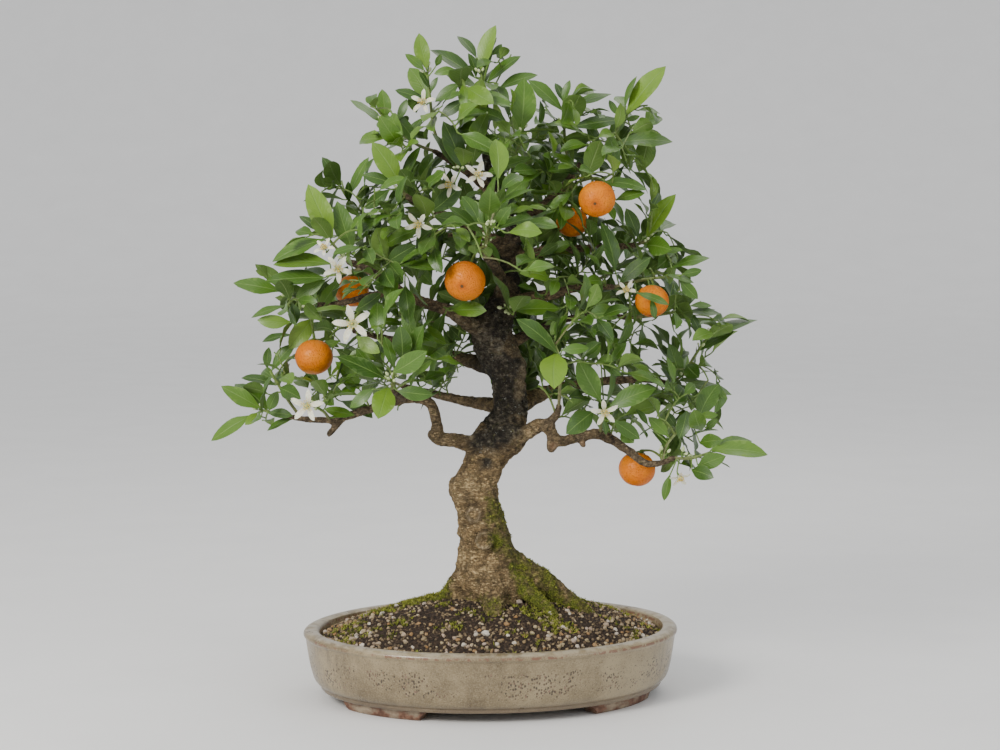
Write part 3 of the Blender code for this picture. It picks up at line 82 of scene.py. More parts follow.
limbLines = {
    "left_low": [(487, 447, 0, 7), (468, 443, -4, 6.5), (452, 440, -10, 5.6), (437, 438, -15, 5.6),
      (437, 425, -17, 4.9), (430, 403, -20, 4.6), (412, 398, -24, 4.3), (392, 402, -30, 4),
      (370, 409, -33, 3.6), (347, 416, -34, 3.3), (328, 420, -32, 2.9), (305, 419, -28, 2.5),
      (286, 416, -25, 2.1)],
    "left_low_knob": [(440, 438, -15, 4.5), (431, 435, -14, 3.6)],
    "left_low_stub": [(343, 418, -33, 2.8), (329, 434, -34, 2.4)],
    "left_front": [(404, 399, -26, 3.4), (398, 394, -50, 2.8), (392, 390, -72, 2.2)],
    "right_low": [(497, 450, 0, 8.5), (513, 443, -6, 7.5), (527, 432, -12, 6.6), (541, 425, -18, 6),
      (550, 429, -22, 5.4), (554, 439, -26, 5), (564, 441, -30, 4.7), (578, 437, -34, 4.5),
      (597, 434, -38, 4.3), (614, 441, -42, 4), (630, 452, -46, 3.6), (645, 463, -48, 3.1),
      (660, 463, -46, 2.6), (674, 458, -42, 2.2)],
    "right_low_knob": [(553, 436, -26, 4.6), (551, 448, -28, 4.2)],
    "right_low_stub": [(580, 438, -36, 2.8), (583, 445, -40, 2.5)],
    "right_low_rise": [(545, 426, -20, 4), (556, 415, -30, 3.2), (559, 406, -40, 2.5)],
    "right_back": [(512, 408, 8, 8.5), (535, 397, 30, 6.6), (556, 389, 46, 5.5), (588, 383, 56, 4.4),
      (622, 380, 56, 3.5), (650, 380, 50, 2.8), (668, 383, 44, 2.3)],
    "back_low": [(510, 398, 6, 8), (519, 394, 36, 5.8), (528, 386, 66, 4.4), (534, 378, 88, 3)],
    "left_back": [(508, 406, 10, 7.5), (484, 404, 32, 5.6), (456, 399, 52, 4.4), (426, 392, 68, 3.4),
      (402, 386, 76, 2.5)],
    "left_mid_back": [(497, 368, 6, 8), (470, 361, 30, 5.8), (440, 352, 48, 4.7), (410, 344, 58, 3.8),
      (380, 337, 64, 3), (354, 331, 64, 2.3)],
    "bare_right": [(505, 346, 4, 6), (522, 337, 14, 4.4), (540, 328, 24, 3.6), (568, 319, 32, 3),
      (600, 314, 34, 2.6), (628, 318, 30, 2.1)],
    "left_mid": [(490, 334, -2, 8), (468, 323, -16, 6.2), (450, 311, -28, 5.4), (428, 304, -36, 4.7),
      (405, 294, -40, 4.3), (384, 280, -40, 3.8), (364, 268, -38, 3.3), (349, 262, -36, 2.7)],
    "left_far": [(398, 290, -40, 3.4), (370, 296, -32, 3), (340, 303, -24, 2.6), (312, 305, -18, 2.1)],
    "right_mid": [(501, 308, 2, 8), (522, 300, -5, 5.4), (545, 297, -8, 4.6), (572, 289, -12, 3.8),
      (596, 287, -14, 3), (613, 287, -14, 2.4)],
    "back_mid": [(494, 330, 4, 8), (500, 320, 36, 5.4), (505, 309, 64, 4.2), (508, 300, 84, 3)],
    "back_mid_right": [(503, 304, 6, 6.5), (534, 297, 32, 4.8), (570, 288, 56, 3.7), (596, 280, 68, 2.7)],
    "front_mid": [(506, 290, 4, 6.5), (497, 270, -28, 4.2), (485, 257, -56, 2.5)],
    "upper_left": [(511, 250, 4, 6.5), (490, 238, -14, 4.8), (465, 225, -26, 4.1), (440, 213, -33, 3.5),
      (418, 204, -36, 3), (406, 196, -37, 2.4)],
    "upper_left_back": [(509, 266, 8, 6), (480, 247, 24, 4.5), (440, 234, 34, 3.6), (404, 230, 34, 2.9),
      (384, 228, 32, 2.3)],
    "upper_right": [(510, 262, 6, 6), (540, 252, 8, 4.7), (575, 249, 8, 3.8), (610, 247, 4, 3.1),
      (636, 245, 2, 2.4)],
    "back_upper": [(512, 246, 6, 6), (517, 238, 34, 4.3), (521, 228, 56, 3)],
    "leader_right": [(514, 236, 4, 6.4), (530, 218, 6, 5.7), (547, 204, 8, 4.9), (562, 190, 8, 4.1),
      (574, 173, 8, 3.4), (583, 161, 7, 2.6)],
    "top_left": [(501, 202, 2, 4.4), (472, 176, -4, 3.3), (450, 161, -6, 2.8), (434, 151, -7, 2.3)],
}

# Leafy sprays. Each has its green twig, from the branch outwards, then the large leaves seen from the front,
# as base, tip and seen width, with two depths where a leaf passes something, and how many the rule adds.
sprays = {
    "apex": ([(484, 117, -1), (483, 97, -3), (481, 72, -6)], [(481, 68, 496, 25, 16),
      (476, 57, 457, 36, 9), (487, 83, 521, 56, 10), (476, 77, 468, 53, 8), (474, 77, 430, 50, 13),
      (478, 87, 446, 75, 8), (498, 90, 538, 75, 10)], 1),
    "apex_side": ([(483, 128, -1), (470, 108, -14), (459, 86, -22), (456, 72, -26)],
      [(456, 70, 434, 74, 9), (460, 83, 435, 102, 11), (466, 100, 440, 117, 12)], 2),
    "apex_left": ([(446, 158, -6), (434, 130, -14), (430, 98, -16), (427, 72, -16)],
      [(427, 68, 419, 33, 16), (424, 70, 405, 54, 9), (421, 98, 395, 90, 10)], 2),
    "top_left": ([(434, 151, -7), (418, 145, -10), (400, 133, -14), (386, 122, -18)],
      [(383, 123, 350, 100, 9), (385, 119, 382, 89, 15), (398, 120, 407, 99, 9), (407, 137, 423, 118, 8)],
      2),
    "upper_front": ([(486, 150, 0), (503, 140, -16), (520, 133, -28)], [(521, 129, 524, 78, 26),
      (531, 158, 486, 175, 12)], 2),
    "upper_right": ([(572, 176, 8), (566, 150, 2), (564, 126, -4), (563, 105, -8)],
      [(562, 110, 528, 80, 13), (563, 101, 570, 80, 8), (563, 101, 555, 83, 8), (570, 107, 612, 94, 9),
      (567, 155, 611, 168, 12)], 2),
    "top_right": ([(583, 161, 7), (600, 150, 4), (609, 142, 2), (618, 128, 0), (625, 116, -2)],
      [(621, 120, 573, 127, 13), (627, 114, 666, 66, 19), (615, 144, 673, 142, 14),
      (599, 151, 586, 125, 9)], 1),
    "fruit_right": ([(557, 195, 8), (576, 183, -12), (597, 178, -26), (612, 186, -34)],
      [(604, 182, 647, 190, 12), (616, 200, 645, 193, 10)], 3),
    "right_upper": ([(636, 245, 2), (648, 241, -2), (661, 246, -6), (671, 262, -8)],
      [(647, 237, 676, 194, 17), (638, 237, 626, 208, 14), (647, 245, 672, 250, 20),
      (672, 268, 710, 258, 9)], 2),
    "right_mid": ([(613, 287, -14), (632, 282, -16), (655, 278, -20), (680, 276, -22)],
      [(615, 270, 601, 222, 16), (620, 283, 651, 257, 15), (683, 274, 702, 270, 9),
      (680, 280, 698, 299, 12)], 1),
    "right_outer": ([(628, 318, 30), (650, 316, 26), (670, 313, 20), (688, 309, 14)],
      [(687, 312, 721, 314, 8), (689, 312, 701, 334, 9)], 3),
    "far_right": ([(668, 383, 44), (682, 376, 34), (691, 362, 26), (700, 348, 20), (708, 337, 14)],
      [(709, 339, 758, 320, 12, 16, 44), (701, 350, 734, 331, 11), (687, 365, 699, 378, 17),
      (681, 378, 669, 343, 15), (687, 384, 732, 395, 11)], 1),
    "right_low": ([(674, 458, -42), (692, 458, -44), (711, 452, -44)], [(711, 450, 768, 455, 17),
      (698, 466, 726, 456, 16), (692, 470, 714, 478, 15), (670, 475, 664, 501, 9)], 2),
    "right_low_rise": ([(661, 463, -46), (668, 443, -38), (683, 427, -32), (702, 420, -28)],
      [(700, 443, 723, 440, 15), (706, 428, 717, 419, 8), (700, 415, 718, 415, 8),
      (702, 430, 694, 409, 18), (687, 411, 679, 439, 15), (676, 427, 665, 412, 9),
      (668, 436, 648, 417, 12)], 1),
    "right_low_bloom": ([(600, 435, -38), (603, 420, -50), (605, 408, -58)], [(600, 400, 578, 359, 22),
      (610, 407, 656, 388, 20), (593, 412, 566, 434, 21), (614, 421, 640, 439, 14),
      (621, 432, 634, 443, 14)], 1),
    "right_bright": ([(559, 406, -40), (560, 384, -56), (560, 366, -70), (559, 354, -80)],
      [(556, 352, 516, 319, 16), (556, 354, 554, 389, 28), (562, 350, 589, 348, 11)], 1),
    "centre_right": ([(503, 304, 0), (509, 311, -18), (513, 314, -30)], [(511, 310, 560, 309, 15)], 2),
    "left_top": ([(384, 228, 32), (366, 215, 22), (351, 203, 12), (340, 186, 4)],
      [(350, 194, 369, 157, 10), (339, 185, 322, 157, 13), (349, 202, 348, 181, 8)], 3),
    "upper_left": ([(406, 196, -37), (400, 187, -41), (395, 178, -44)], [(399, 183, 372, 142, 22),
      (402, 183, 421, 146, 10), (392, 183, 362, 175, 12), (389, 190, 365, 209, 13)], 1),
    "left_mid": ([(349, 262, -36), (338, 250, -42), (328, 238, -46)], [(332, 237, 308, 184, 24),
      (352, 249, 337, 201, 21), (323, 233, 299, 216, 9), (324, 240, 272, 262, 14)], 1),
    "left_mid_side": ([(364, 268, -38), (344, 273, -44), (326, 276, -46)], [(330, 264, 273, 265, 15),
      (324, 278, 265, 281, 16), (325, 280, 296, 298, 14)], 1),
    "left_far": ([(312, 305, -18), (297, 300, -18), (282, 292, -18)], [(280, 291, 233, 283, 15),
      (290, 322, 257, 320, 14), (313, 319, 289, 349, 20)], 1),
    "left_bloom": ([(372, 295, -33), (364, 306, -46), (357, 315, -56)], [(356, 310, 381, 293, 14),
      (357, 337, 380, 353, 15), (376, 322, 404, 325, 8)], 1),
    "left_low": ([(286, 416, -25), (272, 413, -24), (259, 409, -24)], [(260, 408, 221, 386, 16),
      (250, 416, 211, 441, 14), (257, 413, 245, 425, 9), (269, 410, 278, 391, 12),
      (268, 413, 293, 416, 10)], 1),
    "left_low_rise": ([(302, 419, -28), (288, 400, -16), (278, 384, -10), (270, 370, -6)],
      [(267, 368, 269, 347, 9), (272, 370, 296, 344, 12), (275, 385, 241, 378, 10),
      (280, 388, 301, 399, 16)], 2),
    "left_low_bloom": ([(330, 420, -32), (324, 412, -46), (318, 408, -54)], [(354, 415, 324, 409, 11)], 2),
    "left_front": ([(392, 390, -72), (393, 380, -82), (395, 368, -90)], [(384, 378, 336, 356, 16),
      (373, 389, 350, 408, 12), (388, 388, 378, 419, 24), (394, 368, 384, 336, 11),
      (402, 358, 400, 325, 20), (394, 372, 427, 351, 20), (398, 391, 433, 395, 15)], 1),
    "upper_left_front": ([(440, 213, -33), (432, 218, -48), (426, 222, -58)], [(431, 212, 462, 186, 18),
      (434, 216, 469, 221, 16), (420, 229, 380, 248, 14)], 1),
    "front_mid": ([(485, 257, -56), (486, 244, -76), (488, 234, -94), (490, 226, -114)],
      [(488, 215, 490, 187, 22), (494, 230, 534, 218, 9)], 5),
    "left_mid_front": ([(384, 280, -40), (386, 270, -54), (390, 262, -66)], [(387, 262, 416, 245, 16)], 3),
    "upper_bloom": ([(491, 174, 0), (474, 169, -22), (461, 168, -36)], [(464, 171, 443, 121, 20),
      (455, 168, 432, 133, 9)], 2),
    "back_low": ([(534, 378, 88), (540, 369, 108), (545, 356, 126)], [], 7),
    "back_low_left": ([(402, 386, 76), (388, 380, 92), (372, 372, 104)], [], 7),
    "back_left": ([(354, 331, 64), (338, 325, 74), (322, 316, 80)], [], 7),
    "back_mid": ([(508, 300, 84), (511, 288, 104), (514, 272, 122)], [], 7),
    "back_right": ([(596, 280, 68), (612, 272, 84), (626, 260, 96)], [], 7),
    "back_upper": ([(521, 228, 56), (524, 212, 74), (526, 192, 86)], [], 7),
}

# Fruit: its spray, the middle with its depth, its radius in the front view, the way its stem points (to the
# right, back and up) and the route of the stem from the twig.
fruits = {
    "upper_right": ("fruit_right", (597, 199, -50), 18.5, (-0.2, 0.75, 0.6), [(594, 180, -25),
      (592, 184, -30)]),
    "middle": ("front_mid", (465, 281, -62), 20.5, (0.2, 0.75, 0.6), [(487, 244, -70), (475, 254, -60)]),
    "right": ("right_mid", (652, 301, -30), 17, (0.1, 0.35, 0.93), [(650, 279, -19), (652, 281, -21)]),
    "left": ("left_far", (314, 357, -30), 19, (0, 0.2, 0.98), [(308, 304, -18), (311, 320, -24)]),
    "lower_right": ("right_low_rise", (637, 469, -25), 18.5, (0.2, 0.1, 0.97), [(662, 458, -44),
      (652, 451, -34)]),
    "behind_right": ("fruit_right", (572, 222, 4), 16, (0, 0, 1), [(571, 186, -5), (572, 195, 2)]),
    "behind_left": ("left_mid_side", (352, 291, -6), 17, (0, 0, 1), [(354, 270, -40), (353, 271, -24)]),
}

# Blossom: its spray, its middle with its depth, the way it faces (to the right, back and up) and its size.
blossoms = {
    "top_left": ("apex_left", (424, 103, -26), (-0.3, -0.9, 0.2), 0.9),
    "upper_right": ("upper_bloom", (477, 176, -46), (0.25, -0.9, 0.3), 1.0),
    "upper_left": ("upper_bloom", (451, 184, -48), (-0.4, -0.85, -0.1), 0.9),
    "centre": ("upper_left_front", (419, 223, -70), (-0.2, -0.9, -0.3), 0.95),
    "left_high": ("left_mid", (325, 249, -62), (-0.2, -0.8, 0.5), 0.75),
    "left_mid": ("left_mid_side", (338, 269, -64), (0.1, -1, 0.05), 1.0),
    "left_large": ("left_bloom", (353, 324, -72), (-0.05, -1, 0.1), 1.3),
    "left_low": ("left_low_bloom", (308, 406, -68), (-0.15, -0.95, 0.1), 1.15),
    "right_low": ("right_low_bloom", (604, 411, -74), (0.1, -0.95, -0.2), 0.95),
    "right_mid": ("right_mid", (627, 291, -32), (-0.2, -0.9, 0.4), 0.75),
    "right_end": ("right_low", (679, 476, -56), (0.2, -0.7, -0.6), 0.75),
}

# The crown's edge and the open places in it, in the front view: each place with its radius and the depth in
# front of which it stays open.
crownEdge = [
    (496, 25), (530, 52), (575, 78), (615, 90), (668, 64), (674, 142), (650, 165), (680, 192), (682, 245),
    (712, 256), (706, 290), (760, 318), (722, 355), (735, 388), (722, 412), (770, 450), (722, 478),
    (664, 503), (640, 446), (590, 442), (558, 432), (530, 412), (440, 412), (390, 424), (300, 432),
    (210, 445), (238, 415), (218, 384), (238, 372), (262, 345), (248, 318), (230, 284), (265, 255),
    (300, 212), (305, 182), (322, 154), (360, 168), (348, 99), (385, 84), (402, 96), (402, 50), (418, 30),
    (440, 48), (470, 40),
]
openPlaces = [
    (508, 400, 30, 0), (506, 366, 28, 0), (497, 338, 24, 0), (470, 400, 26, 60), (455, 428, 20, 90),
    (540, 412, 18, 60), (478, 362, 16, 20), (506, 245, 12, 0), (508, 275, 14, 0),
]

# Small leaves seen between the others, by spray: base, tip and seen width
smallLeaves = {
    "apex": [(492, 55, 502, 44, 7)],
    "apex_left": [(436, 66, 441, 54, 7), (429, 88, 419, 71, 6), (431, 92, 438, 77, 6)],
    "top_right": [(618, 115, 609, 100, 7), (625, 107, 637, 76, 6), (626, 120, 640, 116, 6)],
    "right_upper": [(665, 252, 683, 250, 6)],
    "right_mid": [(667, 275, 694, 283, 6), (637, 293, 669, 305, 8, -47, -50),
                  (651, 299, 655, 319, 7, -48, -47)],
    "right_outer": [(690, 306, 712, 306, 6)],
    "left_far": [(285, 306, 251, 318, 7), (291, 335, 262, 342, 7), (319, 309, 340, 279, 13),
                 (340, 341, 312, 354, 9)],
    "right_low_bloom": [(603, 420, 606, 435, 6), (601, 362, 621, 376, 10)],
    "right_low_rise": [(648, 425, 636, 409, 6)],
    "right_bright": [(562, 355, 577, 358, 4)],
    "left_low": [(292, 419, 267, 431, 7)],
}

# Clusters of buds: place in the front view and how many
budPlaces = [
    (350, 257, 7), (390, 120, 6), (485, 228, 6), (462, 172, 5), (262, 410, 5), (317, 312, 7), (391, 379, 8),
    (680, 385, 5), (707, 330, 5), (699, 350, 4), (646, 236, 5), (522, 135, 6), (560, 118, 7), (503, 310, 6),
    (465, 253, 4), (402, 185, 5), (430, 75, 4), (478, 75, 5), (655, 460, 5), (680, 447, 4), (574, 300, 4),
    (432, 218, 6), (612, 142, 4), (285, 296, 4), (302, 402, 6),
]

# The leaves that catch the light, by their tip in the front view, and how light they are
lightLeaves = {
    (524, 78): 0.55, (666, 66): 0.95, (676, 194): 0.85, (554, 389): 0.95, (378, 419): 0.9, (289, 349): 1.0,
    (380, 353): 0.95, (768, 455): 0.6, (308, 184): 0.85, (419, 33): 0.8, (496, 25): 0.85, (372, 142): 0.75,
    (337, 201): 0.45, (648, 417): 0.6, (669, 343): 0.4, (233, 283): 0.5, (273, 265): 0.6, (257, 320): 0.75,
    (221, 386): 0.6, (211, 441): 0.55, (245, 425): 0.85, (758, 320): 0.4, (607, 246): 0.7,
}

Leaf = namedtuple("Leaf", "root base tip normal width arch shade")


def place(px, py, depth=0.0):  # the point at a place in the front view
    (middleX, middleY), focal, start, down, _ = frontView.values()
    across, rise = (px - middleX) / focal, (middleY - py) / focal
    ray = Vector((across, cos(down) + rise * sin(down), rise * cos(down) - sin(down)))
    return turn @ (start + ray * ((depth * mm - start.y) / ray.y))


def seen(point):  # where a point lies in the front view, and its depth
    (middleX, middleY), focal, start, down, _ = frontView.values()
    turned = turn.transposed() @ point
    ray = turned - start
    scale = focal / (ray.y * cos(down) - ray.z * sin(down))
    rise = ray.y * sin(down) + ray.z * cos(down)
    return middleX + scale * ray.x, middleY - scale * rise, turned.y / mm


def meshObject(name, points=(), faces=(), edges=()):
    mesh = bpy.data.meshes.new(name)
    mesh.from_pydata([tuple(point) for point in points], edges, faces)
    mesh.update()
    return linked(bpy.data.objects.new(name, mesh))


# What each named attribute of a point or face holds; the others hold one number
attributeKinds = {"turn": "QUATERNION", "under": "BOOLEAN",
    **dict.fromkeys(("local", "size", "bend", "edge", "fromScar"), "FLOAT_VECTOR")}


def putAttribute(thing, name, values, domain="POINT"):
    kind = attributeKinds.get(name, "FLOAT")
    layer = thing.data.attributes.new(name, kind, domain)
    field = "vector" if kind == "FLOAT_VECTOR" else "value"
    layer.data.foreach_set(field, np.ravel(np.array(values, bool if kind == "BOOLEAN" else np.float32)))


def clamped(value):
    return min(1, max(0, value))


def sharesOf(line):  # how far along the line each of its points lies
    return [i / (len(line) - 1) for i in range(len(line))]


def outFrom(way, angle):  # a direction square to the way, at an angle round it
    side = way.orthogonal().normalized()
    return side * cos(angle) + way.cross(side) * sin(angle)


def pointsOf(thing):
    points = np.zeros(len(thing.data.vertices) * 3, np.float32)
    thing.data.vertices.foreach_get("co", points)
    return points.reshape(-1, 3).astype(float)


# Nodes are added to the tree on the bench, which newMaterial or geometryTree puts there.
bench = {}


class Wire:  # a node's output; sums and products of wires add Math nodes
    def __init__(self, socket):
        self.socket = socket

    def __add__(self, other):
        return calc("ADD", self, other)

    def __sub__(self, other):
        return calc("SUBTRACT", self, other)

    def __rsub__(self, other):
        return calc("SUBTRACT", other, self)

    def __mul__(self, other):
        return calc("MULTIPLY", self, other)

    def __abs__(self):
        return calc("ABSOLUTE", self)


def addNode(kind, inputs=None, **settings):
    made = bench["tree"].nodes.new(kind)
    for key, value in settings.items():
        setattr(made, key, value)
    for key, value in (inputs or {}).items():
        socket = made.inputs[key]
        if isinstance(value, (Wire, bpy.types.NodeSocket)):
            bench["tree"].links.new(getattr(value, "socket", value), socket)
        else:
            socket.default_value = (*value, 1) if socket.type == "RGBA" else value
    return made


def wireOf(kind, inputs=None, output=0, **settings):
    return Wire(addNode(kind, inputs, **settings).outputs[output])


def calc(operation, first, second=0.0, third=0.0):
    return wireOf("ShaderNodeMath", {0: first, 1: second, 2: third}, operation=operation)


def partsOf(vector):
    return [Wire(part) for part in addNode("ShaderNodeSeparateXYZ", {0: vector}).outputs]


def geometryTree(name, inputs):  # an empty tree with its named inputs
    tree = bpy.data.node_groups.new(name, "GeometryNodeTree")
    tree.interface.new_socket("Geometry", in_out="OUTPUT", socket_type="NodeSocketGeometry")
    for label, kind in {"Geometry": "Geometry", **inputs}.items():
        tree.interface.new_socket(label, in_out="INPUT", socket_type="NodeSocket" + kind)
    bench["tree"] = tree
    return addNode("NodeGroupInput").outputs


def attributeIn(name):
    kind = attributeKinds.get(name, "FLOAT")
    return wireOf("GeometryNodeInputNamedAttribute", {"Name": name}, data_type=kind)


def setOn(points, shape, turned, scaled):  # the shape on each point, made real
    source = addNode("GeometryNodeObjectInfo", {"Object": shape, "As Instance": True})
    placed = wireOf("GeometryNodeInstanceOnPoints", {"Points": points,
        "Instance": source.outputs["Geometry"], "Rotation": turned, "Scale": scaled})
    return realOf(placed)


def realOf(geometry):
    return wireOf("GeometryNodeRealizeInstances", {"Geometry": geometry})


def closeTree(geometry, material, **chosen):
    done = wireOf("GeometryNodeSetMaterial", {"Geometry": geometry, "Material": material, **chosen})
    addNode("NodeGroupOutput", {0: done})
    return bench["tree"]


def linked(thing):
    bpy.context.scene.collection.objects.link(thing)
    return thing


def evaluatedMesh(thing):
    return bpy.data.meshes.new_from_object(thing.evaluated_get(bpy.context.evaluated_depsgraph_get()))


def grown(name, host, tree, values, dropped=()):  # what the tree makes of the host, as a plain mesh
    change = host.modifiers.new(tree.name, "NODES")
    change.node_group = tree
    for item in tree.interface.items_tree:
        if item.in_out == "INPUT" and item.name in values:
            change[item.identifier] = values[item.name]
    mesh = evaluatedMesh(host)
    host.modifiers.remove(change)
    bpy.data.objects.remove(host)
    mesh.name = name
    for label in dropped:
        mesh.attributes.remove(mesh.attributes[label])
    return linked(bpy.data.objects.new(name, mesh))


def builtObject(name, shape):  # the finished bmesh as an object, its faces outwards
    bmesh.ops.recalc_face_normals(shape, faces=shape.faces)
    made = meshObject(name)
    shape.to_mesh(made.data)
    shape.free()
    return made


def turnOutwards(thing):
    shape = bmesh.new()
    shape.from_mesh(thing.data)
    bmesh.ops.recalc_face_normals(shape, faces=shape.faces)
    shape.to_mesh(thing.data)
    shape.free()


def finishPiece(piece, degrees, nodes=(), look=None):
    if look:
        piece.data.materials.clear()
        piece.data.materials.append(looks[look])
    if degrees:  # 0 leaves the faces flat
        piece.data.shade_smooth()
        piece.data.set_sharp_from_angle(angle=radians(degrees))
    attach(piece, "root")
    if nodes:
        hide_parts(*nodes)
    print(f"{piece.name}: {len(piece.data.polygons)} faces")


# Materials. Patterns read Object coordinates in metres, so a scale of 200 is a grain of 5 mm.
def colourRamp(factor, stops):
    ramp = addNode("ShaderNodeValToRGB", {"Fac": factor})
    elements = ramp.color_ramp.elements
    while len(elements) < len(stops):
        elements.new(0.5)
    for element, (position, colour) in zip(elements, stops):
        element.position = position
        element.color = (*colour, 1)
    return Wire(ramp.outputs["Color"])


def mixColour(factor, first, second, blend="MIX"):
    return wireOf("ShaderNodeMix", {0: factor, 6: first, 7: second}, 2, data_type="RGBA", blend_type=blend)


def noiseOf(scale, detail=3.0, roughness=0.5, vector=None):
    return wireOf("ShaderNodeTexNoise", {"Vector": vector or bench["coordinates"], "Scale": scale,
        "Detail": detail, "Roughness": roughness})


def cellsOf(scale, vector=None, **settings):  # how far from each cell's middle, and the cell's own numbers
    cells = addNode("ShaderNodeTexVoronoi", {"Vector": vector or bench["coordinates"], "Scale": scale,
        "Randomness": 1}, **settings)
    return Wire(cells.outputs["Distance"]), partsOf(cells.outputs["Color"])


def stretched(share):  # the coordinates, with heights times the share
    return wireOf("ShaderNodeMapping", {"Vector": bench["coordinates"], "Scale": (1, 1, share)})


def between(value, low, high):  # 0 below low, 1 above high
    return wireOf("ShaderNodeMapRange", {"Value": value, "From Min": low, "From Max": high},
        interpolation_type="SMOOTHSTEP")


def attributeOf(name, output="Fac"):
    return wireOf("ShaderNodeAttribute", None, output, attribute_name=name)


def newMaterial(name, **sockets):
    made = bpy.data.materials.new(name)
    made.use_nodes = True
    bench.update(material=made, tree=made.node_tree, surface=made.node_tree.nodes["Principled BSDF"])
    bench["coordinates"] = wireOf("ShaderNodeTexCoord", None, "Object")
    for label, value in sockets.items():
        bench["surface"].inputs[label.replace("_", " ")].default_value = value


def finishMaterial(colour, height, strength, depth, roughness=None):
    bump = wireOf("ShaderNodeBump", {"Height": height, "Strength": strength, "Distance": depth})
    for label, value in (("Base Color", colour), ("Normal", bump), ("Roughness", roughness)):
        if value:
            bench["tree"].links.new(value.socket, bench["surface"].inputs[label])
    return bench["material"]


def leafMaterial(name, dark, middle, light, rib, roughness, veinDepth, gloss):
    newMaterial(name, Roughness=roughness, IOR=1.42, Specular_IOR_Level=0.32, Coat_Weight=gloss,
        Coat_Roughness=0.34)
    across, along, _ = partsOf(attributeOf("local", "Vector"))
    across = abs(across)
    mottle = noiseOf(130, 3)
    # The shade attribute holds painted light: lighter for the leaves that catch the light and those high in
    # the crown, over each leaf's own tone
    tone = attributeOf("shade") + (mottle - 0.5) * 0.35
    blade = colourRamp(tone, [(0.0, dark), (0.5, middle), (1.0, light)])
    vein = calc("POWER", abs(calc("SINE", (along - across * 0.28) * 30)), 14) * between(across, 0.95, 0.5)
    lines = calc("MAXIMUM", vein * 0.22, between(across, 0.09, 0.02))
    colour = mixColour(lines * 0.55, blade, rib)
    colour = mixColour(between(across, 0.9, 1.0) * 0.35, colour, rib)
    return finishMaterial(colour, lines * -1.0 + mottle * 0.4 + noiseOf(900, 2) * 0.18, 0.55, veinDepth)


def stemMaterial():
    newMaterial("green stem", Roughness=0.5, IOR=1.42)
    grain = noiseOf(420, 4)
    green = colourRamp(grain, [(0.3, (0.07, 0.13, 0.02)), (0.7, (0.16, 0.27, 0.05))])
    brown = colourRamp(grain, [(0.3, (0.1, 0.075, 0.04)), (0.7, (0.24, 0.19, 0.11))])
    return finishMaterial(mixColour(attributeOf("age"), green, brown), grain, 0.5, 0.0004)


def barkMaterial():
    newMaterial("weathered bark", Roughness=0.88, IOR=1.4)
    broad, grain, fine = noiseOf(55, 4), noiseOf(330, 6, 0.65), noiseOf(1400, 4, 0.6)
    # The dark attribute gives grey bark above the fork, and painted shade in the fork's crotch
    flat, dark = stretched(2.6), attributeOf("dark")
    tone = grain * 0.65 + broad * 0.35
    skin = grain * 0.15 + broad * 0.3 + noiseOf(300, 5, 0.65, flat) * 0.55
    tan = colourRamp(skin, [(0.38, (0.175, 0.112, 0.05)), (0.5, (0.39, 0.265, 0.123)),
        (0.6, (0.63, 0.465, 0.235))])
    grey = colourRamp(tone, [(0.4, (0.01, 0.009, 0.007)), (0.5, (0.06, 0.05, 0.035)),
        (0.61, (0.22, 0.19, 0.135))])
    # Lighter on the raised relief and darker in its hollows: painted light and shade
    reliefShading = wireOf("ShaderNodeMapRange", {"Value": attributeOf("reliefShading"), "To Min": 0.5, "To Max": 1.3})
    colour = mixColour(1.0, mixColour(dark, tan, grey), reliefShading, "MULTIPLY")
    young = colourRamp(tone, [(0.38, (0.08, 0.056, 0.031)), (0.6, (0.31, 0.225, 0.128))])
    colour = mixColour(attributeOf("young"), colour, young)
    flecks = between(noiseOf(620, 2), 0.62, 0.7) * between(noiseOf(90, 2), 0.45, 0.6) * dark
    colour = mixColour(flecks, colour, (0.42, 0.42, 0.36))
    # Dark in the creases of the fine relief: painted shade
    small = abs(noiseOf(390, 3, 0.5, flat) - 0.5)
    crease = calc("MINIMUM", abs(noiseOf(150, 4, 0.55, flat) - 0.5), small * 1.2)
    colour = mixColour(between(crease, 0.034, 0.004) * 0.64, colour, (0.036, 0.023, 0.012))
    # Darker in the furrows, deep wrinkles and the rings' hollows: painted shade
    colour = mixColour(between(attributeOf("recessShade"), 0.25, 0.9) * 0.75, colour, (0.022, 0.016, 0.01))
    for label, share, dull, bright in (("callus", 0.75, (0.2, 0.145, 0.08), (0.5, 0.4, 0.25)),
            ("cut", 0.85, (0.21, 0.115, 0.055), (0.5, 0.33, 0.19))):
        healed = colourRamp(grain, [(0.4, dull), (0.6, bright)])
        colour = mixColour(attributeOf(label) * share, colour, healed)
    moss = attributeOf("moss") + (noiseOf(210, 5, 0.65) - 0.5) * 2.0
    olive = colourRamp(grain, [(0.38, (0.03, 0.032, 0.006)), (0.5, (0.115, 0.115, 0.018)),
        (0.62, (0.27, 0.25, 0.055))])
    colour = mixColour(between(moss, 0.1, 0.65) * 0.82, colour, olive)
    green = colourRamp(fine, [(0.35, (0.035, 0.05, 0.005)), (0.5, (0.14, 0.17, 0.015)),
        (0.65, (0.3, 0.32, 0.04))])
    colour = mixColour(between(moss, 0.75, 1.05), colour, green)
    return finishMaterial(colour, skin * 1.3 + fine * 0.35 + between(crease, 0.0, 0.06) * 0.8, 1.0, 0.0024)


